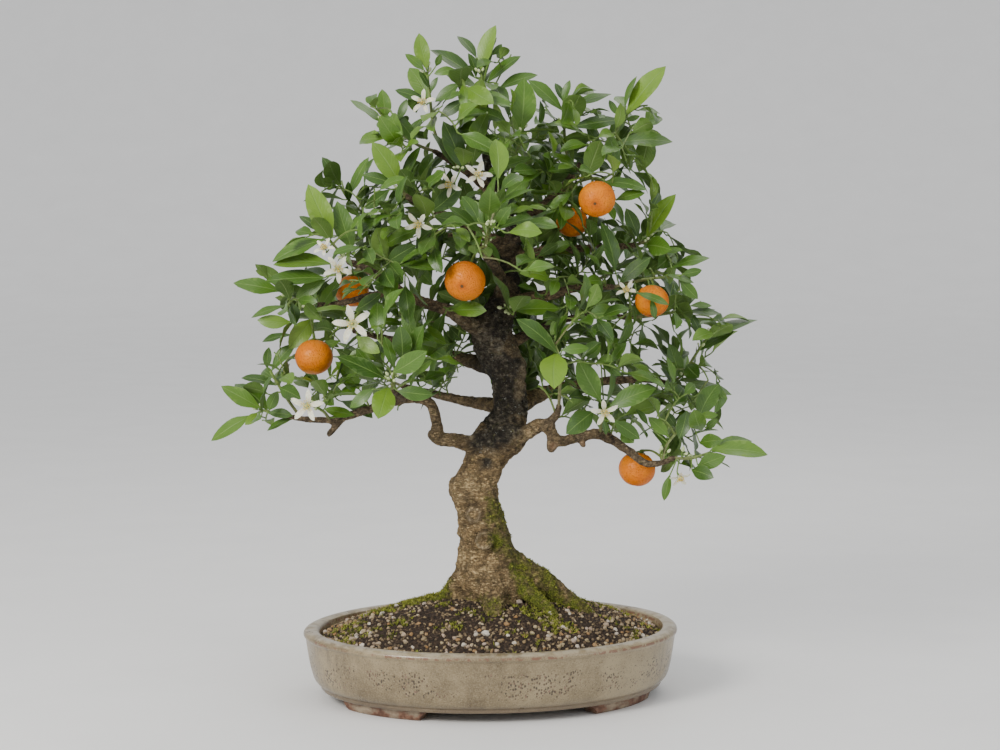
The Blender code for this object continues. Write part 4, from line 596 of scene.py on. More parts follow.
def glazeMaterial():
    newMaterial("speckled grey glaze", IOR=1.5, Coat_Weight=0.25, Coat_Roughness=0.2)
    sideways, _, height = partsOf(bench["coordinates"])
    middle, fine = noiseOf(70, 5, 0.6), noiseOf(900, 3)
    colour = colourRamp(noiseOf(14, 4) * 0.6 + middle * 0.4, [(0.38, (0.114, 0.082, 0.04)),
        (0.5, (0.196, 0.149, 0.079)), (0.63, (0.29, 0.23, 0.131))])
    colour = mixColour(between(fine, 0.4, 0.7) * 0.35, colour, (0.37, 0.3, 0.185))
    streaks = between(noiseOf(260, 3, 0.6, stretched(0.12)), 0.5, 0.62)
    streaks = streaks * between(abs(sideways), 0.095, 0.135)
    colour = mixColour(streaks * 0.35, colour, (0.085, 0.062, 0.036))
    away, (chosen, _, _) = cellsOf(560, stretched(0.7))
    patch = between(height, 0.016, 0.024) * between(height, 0.044, 0.038)
    patch = between(noiseOf(34, 4, 0.6), 0.41, 0.57) * patch
    specks = between(away - (patch * 0.36 + 0.02), 0.09, 0.0) * between(chosen, 0.18, 0.28)
    rust = colourRamp(chosen, [(0.4, (0.026, 0.017, 0.01)), (0.8, (0.085, 0.045, 0.026)),
        (1.0, (0.2, 0.11, 0.075))])
    colour = mixColour(specks * 0.85, colour, rust)
    away, (_, chosen, _) = cellsOf(760)
    pinholes = between(away, 0.36, 0.18) * between(chosen, 0.42, 0.48)
    colour = mixColour(pinholes * 0.6, colour, (0.07, 0.045, 0.026))
    # The rim's top is paler where the glaze thins, and lightened further as a painted highlight
    lip = between(height, 0.0535, 0.0552) * between(noiseOf(120, 3), 0.35, 0.6)
    colour = mixColour(lip * 0.5, colour, (0.5, 0.44, 0.33))
    worn = between(noiseOf(260, 4, 0.6), 0.46, 0.54) * between(noiseOf(22, 2), 0.38, 0.5)
    line = between(height, 0.0508, 0.0518) * between(height, 0.0538, 0.053) * worn
    colour = mixColour(line * 0.8, colour, (0.15, 0.058, 0.032))
    # Darker towards the bottom of the bowl, from 14.5 mm down
    colour = mixColour(between(height, 0.0145, 0.0115) * 0.55, colour, (0.08, 0.052, 0.034))
    rough = wireOf("ShaderNodeMapRange", {"Value": middle, "From Min": 0.3, "From Max": 0.7,
        "To Min": 0.24, "To Max": 0.46})
    return finishMaterial(colour, specks * -1.0 + middle * 0.5 + fine * 0.25, 0.5, 0.0007, rough)


def plainMaterial(name, scale, stops, depth, **sockets):  # one grain of colour and relief
    newMaterial(name, **sockets)
    grain = noiseOf(scale, 5, 0.6)
    return finishMaterial(colourRamp(grain, stops), grain, 0.7, depth)


def tintMaterial(name, stops, scale, depth, **sockets):  # a colour for each shape, with a grain on it
    newMaterial(name, **sockets)
    grain = noiseOf(scale, 4, 0.6)
    shadow = colourRamp(grain, [(0.3, (0.55, 0.52, 0.5)), (0.7, (1.0, 1.0, 1.0))])
    colour = mixColour(0.8, colourRamp(attributeOf("tint"), stops), shadow, "MULTIPLY")
    return finishMaterial(colour, grain, 0.6, depth)


def peelMaterial():
    newMaterial("orange peel", Roughness=0.42, IOR=1.42, Specular_IOR_Level=0.3, Subsurface_Weight=0.03,
        Subsurface_Scale=0.002, Subsurface_Radius=(1.0, 0.45, 0.15))
    colour = colourRamp(noiseOf(60, 3), [(0.3, (0.56, 0.128, 0.0005)), (0.55, (0.67, 0.182, 0.001)),
        (0.75, (0.76, 0.24, 0.001))])
    dimple = between(cellsOf(900, feature="SMOOTH_F1")[0], 0.05, 0.42)
    colour = mixColour((1.0 - dimple) * 0.26, colour, (0.32, 0.06, 0.001))
    offset = attributeOf("fromScar", "Vector")
    fromScar = wireOf("ShaderNodeVectorMath", {0: offset}, "Value", operation="LENGTH")
    colour = mixColour(between(fromScar, 0.42, 0.05), colour, (0.46, 0.1, 0.002))
    colour = mixColour(between(fromScar, 0.105, 0.075), colour, (0.095, 0.05, 0.018))
    return finishMaterial(colour, dimple + noiseOf(260, 2) * 0.6, 0.7, 0.0009)


def petalMaterial():
    newMaterial("waxy white petal", Roughness=0.42, IOR=1.42, Subsurface_Weight=0.15,
        Subsurface_Scale=0.0015)
    across, along, _ = partsOf(attributeOf("local", "Vector"))
    grain = noiseOf(700, 4)
    colour = colourRamp(grain, [(0.3, (0.62, 0.58, 0.43)), (0.65, (0.77, 0.74, 0.6))])
    colour = mixColour(between(along, 0.32, 0.0), colour, (0.62, 0.66, 0.3))
    return finishMaterial(colour, calc("SINE", across * 22) * 0.3 + grain, 0.4, 0.0003)


looks = {
    "leafTop": leafMaterial(
        "leaf upper side", (0.024, 0.064, 0.006), (0.068, 0.15, 0.014), (0.15, 0.265, 0.022),
        (0.17, 0.28, 0.06), 0.37, 0.0006, 0.35),
    "leafUnder": leafMaterial(
        "leaf underside", (0.055, 0.108, 0.024), (0.11, 0.195, 0.038), (0.19, 0.3, 0.055),
        (0.24, 0.33, 0.12), 0.58, 0.0008, 0.0),
    "stem": stemMaterial(),
    "bark": barkMaterial(),
    "glaze": glazeMaterial(),
    "clay": plainMaterial("thinly glazed clay", 95, [
        (0.4, (0.095, 0.043, 0.025)), (0.47, (0.18, 0.09, 0.054)), (0.52, (0.19, 0.135, 0.09)),
        (0.64, (0.3, 0.235, 0.16))], 0.0008, Roughness=0.6, IOR=1.45),
    "soil": plainMaterial("dark soil", 420, [
        (0.35, (0.01, 0.007, 0.005)), (0.6, (0.045, 0.028, 0.017)), (0.75, (0.12, 0.08, 0.05))], 0.0015,
        Roughness=0.95, IOR=1.4),
    "grit": tintMaterial("dark grit", [
        (0.0, (0.008, 0.006, 0.004)), (0.35, (0.034, 0.023, 0.014)), (0.58, (0.08, 0.053, 0.031)),
        (0.78, (0.155, 0.108, 0.06)), (0.92, (0.3, 0.225, 0.12)), (1.0, (0.52, 0.43, 0.28))], 700, 0.0006,
        Roughness=0.85, IOR=1.45),
    "pebble": tintMaterial("pale pebbles", [
        (0.0, (0.018, 0.013, 0.009)), (0.3, (0.06, 0.04, 0.024)), (0.48, (0.155, 0.108, 0.06)),
        (0.62, (0.3, 0.225, 0.125)), (0.72, (0.33, 0.175, 0.06)), (0.84, (0.42, 0.34, 0.2)),
        (0.93, (0.4, 0.29, 0.22)), (1.0, (0.64, 0.6, 0.5))], 700, 0.0006, Roughness=0.7, IOR=1.45),
    "moss": tintMaterial("moss", [
        (0.0, (0.038, 0.046, 0.005)), (0.5, (0.125, 0.148, 0.014)), (1.0, (0.35, 0.37, 0.05))], 900, 0.0003,
        Roughness=0.8, IOR=1.4),
    "peel": peelMaterial(),
    "petal": petalMaterial(),
    "filament": plainMaterial("filament", 500, [
        (0.3, (0.62, 0.64, 0.42)), (0.7, (0.8, 0.8, 0.62))], 0.0002, Roughness=0.5, IOR=1.42),
    "anther": plainMaterial("anther", 900, [
        (0.3, (0.55, 0.38, 0.05)), (0.7, (0.8, 0.64, 0.18))], 0.0003, Roughness=0.8, IOR=1.4),
    "bud": plainMaterial("bud", 400, [
        (0.3, (0.3, 0.42, 0.14)), (0.55, (0.55, 0.62, 0.33)), (0.75, (0.78, 0.78, 0.6))], 0.0002,
        Roughness=0.45, IOR=1.42),
    "screen": plainMaterial("dark green plastic", 300, [
        (0.3, (0.018, 0.032, 0.022)), (0.7, (0.035, 0.06, 0.04))], 0.0002, Roughness=0.55, IOR=1.46),
    "floor": plainMaterial("pale floor", 9, [
        (0.3, (0.8, 0.795, 0.78)), (0.7, (0.83, 0.825, 0.81))], 0.0002, Roughness=0.7, IOR=1.4),
}
print("materials are ready")

# Leaves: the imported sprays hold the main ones, and these rules place them again
leafRule = {"slimness": 0.46, "petiole": 0.0045, "tries": 16, "length": (0.03, 0.04), "spread": (0.6, 1.25),
    "endSpread": 0.55, "arch": (0.04, 0.11), "widths": (0.92, 1.12), "share": 0.78, "turn": 3.1,
    "tilt": 0.35, "rise": 0.22, "outwards": 0.45, "built": 0.0006, "litFrom": 0.33, "spiral": radians(137.5)}
seenRule = {"arch": 0.05, "lead": 2, "widest": 0.5, "longest": 0.042, "slimmest": 0.414, "atBase": 0.4,
    "shifts": (0, -5, 5, -10, 10, -16, 16)}
rootRule = {"spacing": 0.0013, "last": 0.0012, "first": 0.04, "tries": 160}
twigLook = {"base": 0.0014, "tip": 0.0011, "gap": 0.00035, "seatStep": 0.00005, "seatTries": 400, "sides": 5}


def smoothRoute(points, parts=2):  # a curve through the points
    ends = [points[0] * 2 - points[1], *points, points[-1] * 2 - points[-2]]
    route = []
    for i in range(1, len(ends) - 2):
        a, b, c, d = ends[i - 1:i + 3]
        for step in range(parts):
            t = step / parts
            route.append(0.5 * ((b * 2) + (c - a) * t + (a * 2 - b * 5 + c * 4 - d) * t ** 2
                + (b * 3 - a - c * 3 + d) * t ** 3))
    return [*route, points[-1]]


def seated(points, tree):  # the twig's start, moved out of the branch
    heading = (points[1] - points[0]).normalized()
    side = heading.orthogonal().normalized() * twigLook["base"]
    other = heading.cross(side)
    for step in range(twigLook["seatTries"]):
        start = points[0] + heading * (step * twigLook["seatStep"])
        found = [(start + offset, *tree.find_nearest(start + offset))
            for offset in (side, -side, other, -other, side * 0)]
        if all(distance > twigLook["gap"] and (point - spot).dot(normal) > 0
               for point, spot, normal, _, distance in found):
            return [start, *points[1:]]
    return points


def nearestOn(points, target):  # the share of the way along a route nearest to a place in the front view
    best = None
    for i in range(len(points) - 1):
        for step in range(11):
            point = points[i].lerp(points[i + 1], step / 10)
            px, py, _ = seen(point)
            miss = hypot(px - target[0], py - target[1])
            if best is None or miss < best[0]:
                best = (miss, (i + step / 10) / (len(points) - 1), point)
    return best[1], best[2]


def pointOn(points, share):
    at = min(share, 0.999) * (len(points) - 1)
    i = int(at)
    return points[i].lerp(points[i + 1], at - i), (points[i + 1] - points[i]).normalized()


def freeRoot(twig, roots, share):  # the nearest place on a twig where a leaf may root
    length = sum((b - a).length for a, b in zip(twig, twig[1:]))
    last = 1 - rootRule["last"] / length
    wanted = min(share, last)
    for step in range(rootRule["tries"]):
        way = (step + 1) // 2 * (1 if step % 2 else -1)
        tried = wanted + way * rootRule["spacing"] / length / 4
        if not rootRule["first"] < tried <= last:
            continue
        root, heading = pointOn(twig, tried)
        if all((root - other).length >= rootRule["spacing"] for other in roots):
            return root, heading
    return pointOn(twig, wanted)


def seenLeaf(twig, roots, entry, shift):  # a leaf given by its base, tip and width in the front view
    baseX, baseY, tipX, tipY, width = entry[:5]
    root, _ = freeRoot(twig, roots, nearestOn(twig, (baseX, baseY))[0])
    baseDepth, tipDepth = entry[5:] if len(entry) > 5 else (seen(root)[2] - seenRule["lead"], None)
    pixel = (place(baseX, baseY, baseDepth) - place(baseX + 1, baseY, baseDepth)).length
    length = hypot(tipX - baseX, tipY - baseY) * pixel
    trueLength = max(length, min(width * pixel / seenRule["widest"], seenRule["longest"]))
    if tipDepth is None:
        tipDepth = baseDepth - sqrt(trueLength ** 2 - length ** 2) / mm
    base = place(baseX, baseY, baseDepth + shift * seenRule["atBase"])
    tip = place(tipX, tipY, tipDepth + shift)
    along = (tip - base).normalized()
    toEye = eye - base
    faceOn = (toEye - along * toEye.dot(along)).normalized()
    lifted = along.cross(faceOn)
    lifted = lifted if lifted.z > 0 else -lifted
    breadth = max(width * pixel, seenRule["slimmest"] * (tip - base).length)
    roll = acos(min(1, width * pixel / breadth))
    normal = faceOn * cos(roll) + lifted * sin(roll)
    shade = lightLeaves.get((tipX, tipY), 0.3 + 0.22 * sin(tipX + 2.3 * tipY))  # the others vary a little
    return Leaf(root, base, tip, normal, breadth, seenRule["arch"], shade)


def ruleLeaf(draw, root, heading, index, rule):  # a leaf on the spiral round the twig
    around = index * rule["spiral"] + draw.uniform(-rule["turn"], rule["turn"])
    spread = draw.uniform(*rule["spread"]) * (rule["endSpread"] if index == 0 else 1)
    length = draw.uniform(*rule["length"])
    slimness = rule["slimness"] * draw.uniform(*rule["widths"])
    arch = draw.uniform(*rule["arch"])
    tilt = Vector((draw.uniform(-rule["tilt"], rule["tilt"]), draw.uniform(-rule["tilt"], rule["tilt"]), 0))
    outwards = outFrom(heading, around)
    direction = (heading * cos(spread) + outwards * sin(spread) + upward * rule["rise"]).normalized()
    base = root + direction * rule["petiole"]
    away = Vector((base.x, base.y, 0)).normalized()
    # Lighter at the twig's end, and painted lighter high in the crown as if lit from above
    shade = 0.3 + 0.2 * sin(997 * base.x + 813 * base.z) + (0.2 if index == 0 else 0)
    shade += max(0, base.z - rule["litFrom"])
    return Leaf(root, base, base + direction * length, upward + away * rule["outwards"] + tilt,
        slimness * length, arch, shade)


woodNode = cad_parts["wood"]
woodTree = BVHTree.FromObject(woodNode, bpy.context.evaluated_depsgraph_get())
twigs = {}
for name, (steps, _, _) in sprays.items():
    points = seated([place(*step) for step in steps], woodTree)
    twigs[name] = smoothRoute(points) if len(points) < 4 else points
leaves = []
roots = {name: [] for name in sprays}
corners = {}
for name in sprays:
    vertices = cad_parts["spray_" + name].data.vertices
    corners[name] = KDTree(len(vertices))
    for vertex in vertices:
        corners[name].insert(vertex.co, vertex.index)
    corners[name].balance()


def keepIfBuilt(name, leaf):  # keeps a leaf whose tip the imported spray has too
    if corners[name].find(leaf.tip)[2] > leafRule["built"]:
        return False
    leaves.append(leaf)
    roots[name].append(leaf.root)
    return True


for name, (_, entries, _) in sprays.items():
    for entry in entries:
        any(keepIfBuilt(name, seenLeaf(twigs[name], roots[name], entry, shift))
            for shift in seenRule["shifts"])
seenCount = len(leaves)
for number, (name, (_, _, count)) in enumerate(sprays.items()):
    draw = random.Random(number + 1)
    for index in range(count):
        for _ in range(leafRule["tries"]):
            root, heading = freeRoot(twigs[name], roots[name], 1 - leafRule["share"] * index / count)
            if keepIfBuilt(name, ruleLeaf(draw, root, heading, index, leafRule)):
                break
print(f"leaves of the packed sprays: {seenCount} seen in front and {len(leaves) - seenCount} by rule")
for name, entries in smallLeaves.items():
    for entry in entries:
        leaf = seenLeaf(twigs[name], roots[name], entry, 0)
        roots[name].append(leaf.root)
        leaves.append(leaf)

# Stems: lines with a thickness and an age at each point, which a tree makes round
stems = []  # points, thicknesses and ages


def addStem(points, thicknesses, ages, parts=3):
    rows = [Vector((*point, thick)) for point, thick in zip(points, thicknesses)]
    fine = smoothRoute(rows, parts) if len(rows) > 1 else rows
    young, old = ages[-1], ages[0]
    stems.append(([Vector(row[:3]) for row in fine], [max(row[3], 0.0002) for row in fine],
        [old + (young - old) * share for share in sharesOf(fine)]))


def addPetiole(leaf, thickness=0.00055):
    along = leaf.tip - leaf.base
    bend = leaf.root.lerp(leaf.base, 0.55) - upward * 0.0003
    inner = leaf.base + along * 0.05
    addStem([leaf.root, bend, leaf.base, inner], [thickness * 1.25, thickness, thickness, thickness * 0.6],
        (0.05, 0.0), 2)


for name, (steps, _, _) in sprays.items():
    start = place(*steps[0])
    line = [start, *twigs[name]] if (twigs[name][0] - start).length > 0.001 else twigs[name]
    taper = twigLook["tip"] - twigLook["base"]
    addStem(line, [twigLook["base"] + taper * share for share in sharesOf(line)], (0.8, 0.1))

# More leaves between them, on thin twigs that branch off the limbs and off each other
filling = {
    "seed": 5, "cell": 21, "jitter": 9, "across": (210, 776), "down": (20, 506),
    "depths": (-0.93, -0.6, -0.2, 0.2, 0.6, 0.93), "depthJitter": 0.12, "reach": 0.133, "thin": 0.036,
    "round": 1.15, "pixel": 0.0008, "twig": (0.01, 0.056), "thickest": 0.0052, "tip": 0.0006, "old": 0.03,
    "spacing": 0.0085, "apart": 0.0048, "most": 1150, "tries": 5, "fruitGap": 0.0025, "woodGap": 0.0015,
    "lowest": 0.168, "inside": 6, "spread": 11, "shown": 0.36, "layer": 0.012,
    "veil": ((-0.7, 0.3, 6), (0.8, -0.2, 5), (0.1, 0.9, 8), (-0.3, -0.9, 7), (0.5, 0.6, 10),
             (-0.2, 0.1, 12), (0.9, 0.5, 9), (-0.9, -0.3, 11))}
thinAge = 0.05  # the age at a thin twig's tip, by which the buds find it
fillRule = {**leafRule, "length": (0.018, 0.032), "spread": (0.55, 1.3), "arch": (0.03, 0.13), "tilt": 0.5,
    "rise": 0.15, "outwards": 0.8, "widths": (0.9, 1.15), "petiole": 0.0042}
fruitSpots = []
for owner, spot, radius, stem, path in fruits.values():
    centre = place(*spot)
    pixel = (place(spot[0] + 1, spot[1], spot[2]) - centre).length
    fruitSpots.append((centre, radius * pixel))
shownPlaces = [(spot[0], spot[1], radius + 5) for name, (_, spot, radius, _, _) in fruits.items()
    if not name.startswith("behind")]
shownPlaces += [(spot[0], spot[1], 15 * size) for _, spot, _, size in blossoms.values()]
shownLeaves = []  # places along the leaves seen in front, which nothing is set before
for name, entries in [*((name, spray[1]) for name, spray in sprays.items()), *smallLeaves.items()]:
    for baseX, baseY, tipX, tipY, width, *_ in entries:
        for share in (0.25, 0.45, 0.65, 0.85):
            spot = (baseX + (tipX - baseX) * share, baseY + (tipY - baseY) * share)
            shownLeaves.append((*spot, max(4, width * filling["shown"] * (1.25 - share * 0.5))))


def edgeDistance(px, py):  # how far inside the crown's edge a place lies, below nothing outside it
    inside, nearest = False, 1e9
    for (ax, ay), (bx, by) in zip(crownEdge, crownEdge[1:] + crownEdge[:1]):
        if (ay > py) != (by > py) and px < (bx - ax) * (py - ay) / (by - ay) + ax:
            inside = not inside
        length = (bx - ax) ** 2 + (by - ay) ** 2
        share = min(1, max(0, ((px - ax) * (bx - ax) + (py - ay) * (by - ay)) / length))
        nearest = min(nearest, hypot(px - ax - share * (bx - ax), py - ay - share * (by - ay)))
    return nearest if inside else -nearest


def reachAt(inner):  # how far from the middle plane leaves go, that far inside the crown's edge
    return min(filling["reach"], filling["thin"] + inner * filling["pixel"] * filling["round"])


def staysIn(point, slack=0.0):  # whether a point of a leaf may lie there
    px, py, depth = seen(point)
    inner = edgeDistance(px, py)
    if inner < filling["inside"] - slack or point.z < filling["lowest"]:
        return False
    if abs(point.y) > reachAt(max(inner, 0)):
        return False
    if depth < 30 and any(abs(px - x) < radius and abs(py - y) < radius for x, y, radius in shownLeaves):
        return False
    if any(depth < front and hypot(px - x, py - y) < radius for x, y, radius, front in openPlaces):
        return False
    if any(depth < 0 and hypot(px - x, py - y) < radius for x, y, radius in shownPlaces):
        return False
    return all((point - centre).length > radius + filling["fruitGap"] for centre, radius in fruitSpots)


taken = {}  # sample points of the leaves, by cell


def samplesOf(leaf):
    side = (leaf.tip - leaf.base).normalized().cross(leaf.normal.normalized()) * leaf.width * 0.28
    middle = leaf.base.lerp(leaf.tip, 0.5)
    return [leaf.base.lerp(leaf.tip, 0.15), middle + side, middle - side, leaf.base.lerp(leaf.tip, 0.9)]


def cellOf(point):
    return tuple(value // filling["apart"] for value in point)


def isFree(points):
    for point in points:
        x, y, z = cellOf(point)
        for cell in ((x + i, y + j, z + k) for i in (-1, 0, 1) for j in (-1, 0, 1) for k in (-1, 0, 1)):
            if any((point - other).length < filling["apart"] for other in taken.get(cell, ())):
                return False
    return True


def takeLeaf(leaf):
    for point in samplesOf(leaf):
        taken.setdefault(cellOf(point), []).append(point)


for leaf in leaves:
    takeLeaf(leaf)
skeleton = []  # points that a twig may start from, each with its thickness
for steps in limbLines.values():
    line = smoothRoute([Vector((*place(*step[:3]), step[3] * mm)) for step in steps], 4)
    skeleton += [(Vector(row[:3]), row[3]) for row in line if row[3] < filling["thickest"]]
for line in twigs.values():
    skeleton += [(point, twigLook["base"]) for point in smoothRoute(line, 2)]
skeletonPoints = [tuple(point) for point, _ in skeleton]
draw = random.Random(filling["seed"])
targets = []
for px in range(*filling["across"], filling["cell"]):
    for py in range(*filling["down"], filling["cell"]):
        for depth in filling["depths"]:
            x, y = (value + draw.uniform(-filling["jitter"], filling["jitter"]) for value in (px, py))
            inner = edgeDistance(x, y)
            if inner >= filling["spread"]:
                share = depth + draw.uniform(-filling["depthJitter"], filling["depthJitter"])
                targets.append(place(x, y, share * reachAt(inner) / mm))
draw.shuffle(targets)
veils = [(name, shift) for name in fruits if name.startswith("behind") for shift in filling["veil"]]
for name, (x, y, near) in veils:  # leaves before the fruit that is half hidden
    _, spot, radius, _, _ = fruits[name]
    targets.append(place(spot[0] + x * radius, spot[1] + y * radius, spot[2] - radius * 0.8 - near))
starts = np.array(skeletonPoints)


def layerOf(point):  # targets are served layer by layer, from the limbs outwards
    return round(np.min(np.linalg.norm(starts - np.array(point), axis=1)) / filling["layer"])


targets.sort(key=layerOf)
fillingLeaves = []
for target in targets:
    if len(fillingLeaves) >= filling["most"]:
        break
    if not staysIn(target, -3) or not isFree([target]):
        continue
    distances = np.linalg.norm(np.array(skeletonPoints) - np.array(target), axis=1)
    nearest = int(np.argmin(distances))
    length = float(distances[nearest])
    if not filling["twig"][0] < length < filling["twig"][1]:
        continue
    start, thickness = skeleton[nearest]
    way = target - start
    bow = upward * 0.12 * length + Vector((draw.uniform(-1, 1), draw.uniform(-1, 1), 0)) * 0.08 * length
    line = smoothRoute([start, start + way * 0.35 + bow * 0.7, start + way * 0.7 + bow * 0.8, target], 2)
    grownLeaves = []
    count = 2 + int(length * 0.85 / filling["spacing"])
    for index in range(count):
        root, heading = pointOn(line, 0.985 - 0.8 * index / count)
        for _ in range(filling["tries"]):
            rule = {**fillRule, "outwards": draw.uniform(0.2, 1.5)}
            leaf = ruleLeaf(draw, root, heading, index, rule)
            samples = samplesOf(leaf)
            if not all(staysIn(point) for point in samples) or not isFree(samples):
                continue
            if any(woodTree.find_nearest(point)[3] < filling["woodGap"] for point in samples[1:]):
                continue
            takeLeaf(leaf)
            grownLeaves.append(leaf)
            break
    if not grownLeaves:
        continue
    base = min(thickness * 0.8, 0.0007 + length * 0.012)
    addStem(line, [base + (filling["tip"] - base) * share for share in sharesOf(line)],
        (0.75 if length > filling["old"] else 0.35, thinAge), 1)
    skeleton += [(point, base) for point in line[2:]]
    skeletonPoints += [tuple(point) for point in line[2:]]
    fillingLeaves += grownLeaves
print(f"filling leaves: {len(fillingLeaves)}")
for leaf in leaves + fillingLeaves:
    addPetiole(leaf)

# One blade, in shares of its width and length. A tree sets it at each leaf's base, turns, scales and bends it
blade = {"halfWidths": (0.06, 0.21, 0.385, 0.475, 0.5, 0.47, 0.385, 0.245, 0), "thickness": 0.00042,
    "fold": (0.1, 0.42), "wave": (0.0, 0.55), "twist": (-0.5, 0.5), "sideways": (-0.035, 0.035),
    "top": "leafTop", "under": "leafUnder"}


def bladeShape(name, outline, thickness):  # outline: share along, half width; ends in a point
    points, local = [], []
    for along, half in outline[:-1]:
        for side in (1, -1):
            for column in (-1, -0.5, 0, 0.5, 1):
                if side == -1 and abs(column) == 1:
                    continue
                points.append((column * half, along, side * thickness / 2 * (1 - abs(column))))
                local.append((column, along, column * half))
    points.append((0, outline[-1][0], 0))
    local.append((0, outline[-1][0], 0))
    # In each row 0 to 4 lie on top and 5 to 7 below, and the rims 0 and 4 belong to both
    top, under, last = (0, 1, 2, 3, 4), (0, 5, 6, 7, 4), len(points) - 1
    faces, below = [], []
    for row in range(len(outline) - 1):
        first, second = row * 8, (row + 1) * 8
        for columns, isUnder in ((top, False), (under, True)):
            for a, b in zip(columns, columns[1:]):
                if row < len(outline) - 2:
                    face = (first + a, first + b, second + b, second + a)
                else:
                    face = (first + a, first + b, last)
                faces.append(face[::-1] if isUnder else face)
                below.append(isUnder)
    faces.append((4, 3, 2, 1, 0, 5, 6, 7))
    below.append(False)
    shape = meshObject(name, points, faces)
    putAttribute(shape, "local", local)
    putAttribute(shape, "under", below, "FACE")
    return shape


def bladeTree():
    given = geometryTree("set blades", {"Shape": "Object", "Waves": "Float", "Top": "Material",
        "Underside": "Material"})
    turned = attributeIn("turn")
    real = setOn(given["Geometry"], given["Shape"], turned, attributeIn("size"))
    column, along, across = partsOf(attributeIn("local"))
    arch, sideways, twist = partsOf(attributeIn("bend"))
    fold, wave, phase = partsOf(attributeIn("edge"))
    hump = along * (1.0 - along) * 4.0
    waves = across * across * calc("SINE", column * 1.3 + (along * given["Waves"] + phase))
    rise = hump * arch + abs(across) * fold + waves * wave + across * (along - 0.3) * twist
    offset = wireOf("ShaderNodeCombineXYZ", {0: hump * sideways, 2: rise})
    offset = wireOf("FunctionNodeRotateVector", {"Vector": offset, "Rotation": turned})
    bent = wireOf("GeometryNodeSetPosition", {"Geometry": real, "Offset": offset})
    top = wireOf("GeometryNodeSetMaterial", {"Geometry": bent, "Material": given["Top"]})
    return closeTree(top, given["Underside"], Selection=attributeIn("under"))


bladeNodes = bladeTree()


def setBlades(name, blades, shape, waves, look, seed):  # blades as leaves, bent each a little differently
    draw = random.Random(seed)
    rows = []
    for leaf in blades:
        along = (leaf.tip - leaf.base)
        length = along.length
        along.normalize()
        normal = (leaf.normal - along * leaf.normal.dot(along)).normalized()
        turned = Matrix((along.cross(normal), along, normal)).transposed().to_quaternion()
        bend = (leaf.arch * length, draw.uniform(*look["sideways"]) * length,
            draw.uniform(*look["twist"]) * leaf.width)
        edge = (draw.uniform(*look["fold"]) * leaf.width, draw.uniform(*look["wave"]) * leaf.width,
            draw.uniform(0, 6.3))
        shade = clamped(leaf.shade + draw.uniform(-0.08, 0.08))
        rows.append((tuple(turned), (leaf.width, length, 1.0), bend, edge, shade))
    host = meshObject(name + "Points", [leaf.base for leaf in blades])
    for label, values in zip(("turn", "size", "bend", "edge", "shade"), zip(*rows)):
        putAttribute(host, label, values)
    return grown(name, host, bladeNodes, {"Shape": shape, "Waves": waves, "Top": looks[look["top"]],
        "Underside": looks[look["under"]]}, ("turn", "size", "bend", "edge", "under"))


outline = [(row / 8, half) for row, half in enumerate(blade["halfWidths"])]
leafBlade = bladeShape("leafBlade", outline, blade["thickness"])
calmBlade = {**blade, "fold": (0.04, 0.22), "wave": (0.0, 0.35), "twist": (-0.2, 0.2)}
finishPiece(setBlades("leaves", leaves, leafBlade, 9.0, calmBlade, 21), 50,
    ["spray_" + name for name in sprays])
finishPiece(setBlades("fillingLeaves", fillingLeaves, leafBlade, 9.0, blade, 22), 50)

# Wood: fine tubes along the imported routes, joined by a remesh, softened where they meet and given their bark
bark = {"voxel": 0.00136, "step": 0.0022, "trunkSides": 40, "limbSides": 16, "softening": 26, "lumps": 0.13,
    "wrinkles": 0.002, "grain": 0.00045, "furrow": 0.0004, "fork": 0.188}
# Healed cuts and knots on the trunk: place in the front view, radius and height of the ring in millimetres,
# and how deep its middle is and how dark with painted shade, in its hollow and the groove round the ring
rings = [(484.5, 540, 5.2, 4.4, 0.85), (473.5, 515, 5.2, 1.9, 0.6), (462, 487, 9.5, 1.6, 0.15),
         (462, 487, 5.0, 0.7, 0.1), (497, 346, 5.0, 0.8, 0.25), (515, 420, 4.6, 1.0, 0.4),
         (466, 575, 6.0, 1.0, 0.1)]
# Sawn ends of stubs, pale calluses and grey bark in the fork, darkened there as painted shade in its crotch:
# place in the front view and radius in millimetres
patches = {
    "cut": [(553, 446, 3.6), (583, 443, 2.8), (566, 581, 3.4)],
    "callus": [(470, 437, 4.0), (524, 352, 6.0), (525, 362, 7.0), (524, 372, 7.0), (522, 384, 6.5),
               (520, 395, 5.0)],
    "dark": [(478, 440, 12.0), (490, 437, 15.0), (503, 433, 15.0), (513, 426, 12.0)],
}
# The moss on the trunk's right: heights in the front view and its left edge at each
mossEdge = (500, 520, 540, 560, 575, 595), (483, 481, 486, 496, 508, 515)


def fineRoute(steps):  # positions and radii, a short step apart
    rows = [Vector((*place(*step[:3]), step[3] * mm)) for step in steps]
    length = sum((Vector(b[:3]) - Vector(a[:3])).length for a, b in zip(rows, rows[1:]))
    return smoothRoute(rows, max(2, round(length / bark["step"] / (len(rows) - 1))))


def tubeRings(rows, sides, lobed):
    made = []
    for i, row in enumerate(rows):
        point, radius = Vector(row[:3]), row[3]
        ahead = (Vector(rows[min(i + 1, len(rows) - 1)][:3]) - Vector(rows[max(i - 1, 0)][:3])).normalized()
        side = ahead.cross(Vector((0, 1, 0)))
        side = (side if side.length > 0.3 else ahead.cross(upward)).normalized()
        other = side.cross(ahead).normalized()
        level = i / len(rows)
        ring = []
        for step in range(sides):
            angle = 2 * pi * step / sides
            lobes = sin(3 * angle + 1.1 + 2.2 * level) + 0.6 * sin(5 * angle + 0.4 - 3.1 * level)
            reach = radius * (1 + (0.035 + 0.07 * max(0, 1 - 3 * level)) * lobes if lobed else 1)
            ring.append(point + side * (reach * cos(angle)) + other * (reach * sin(angle)))
        made.append(ring)
    return made


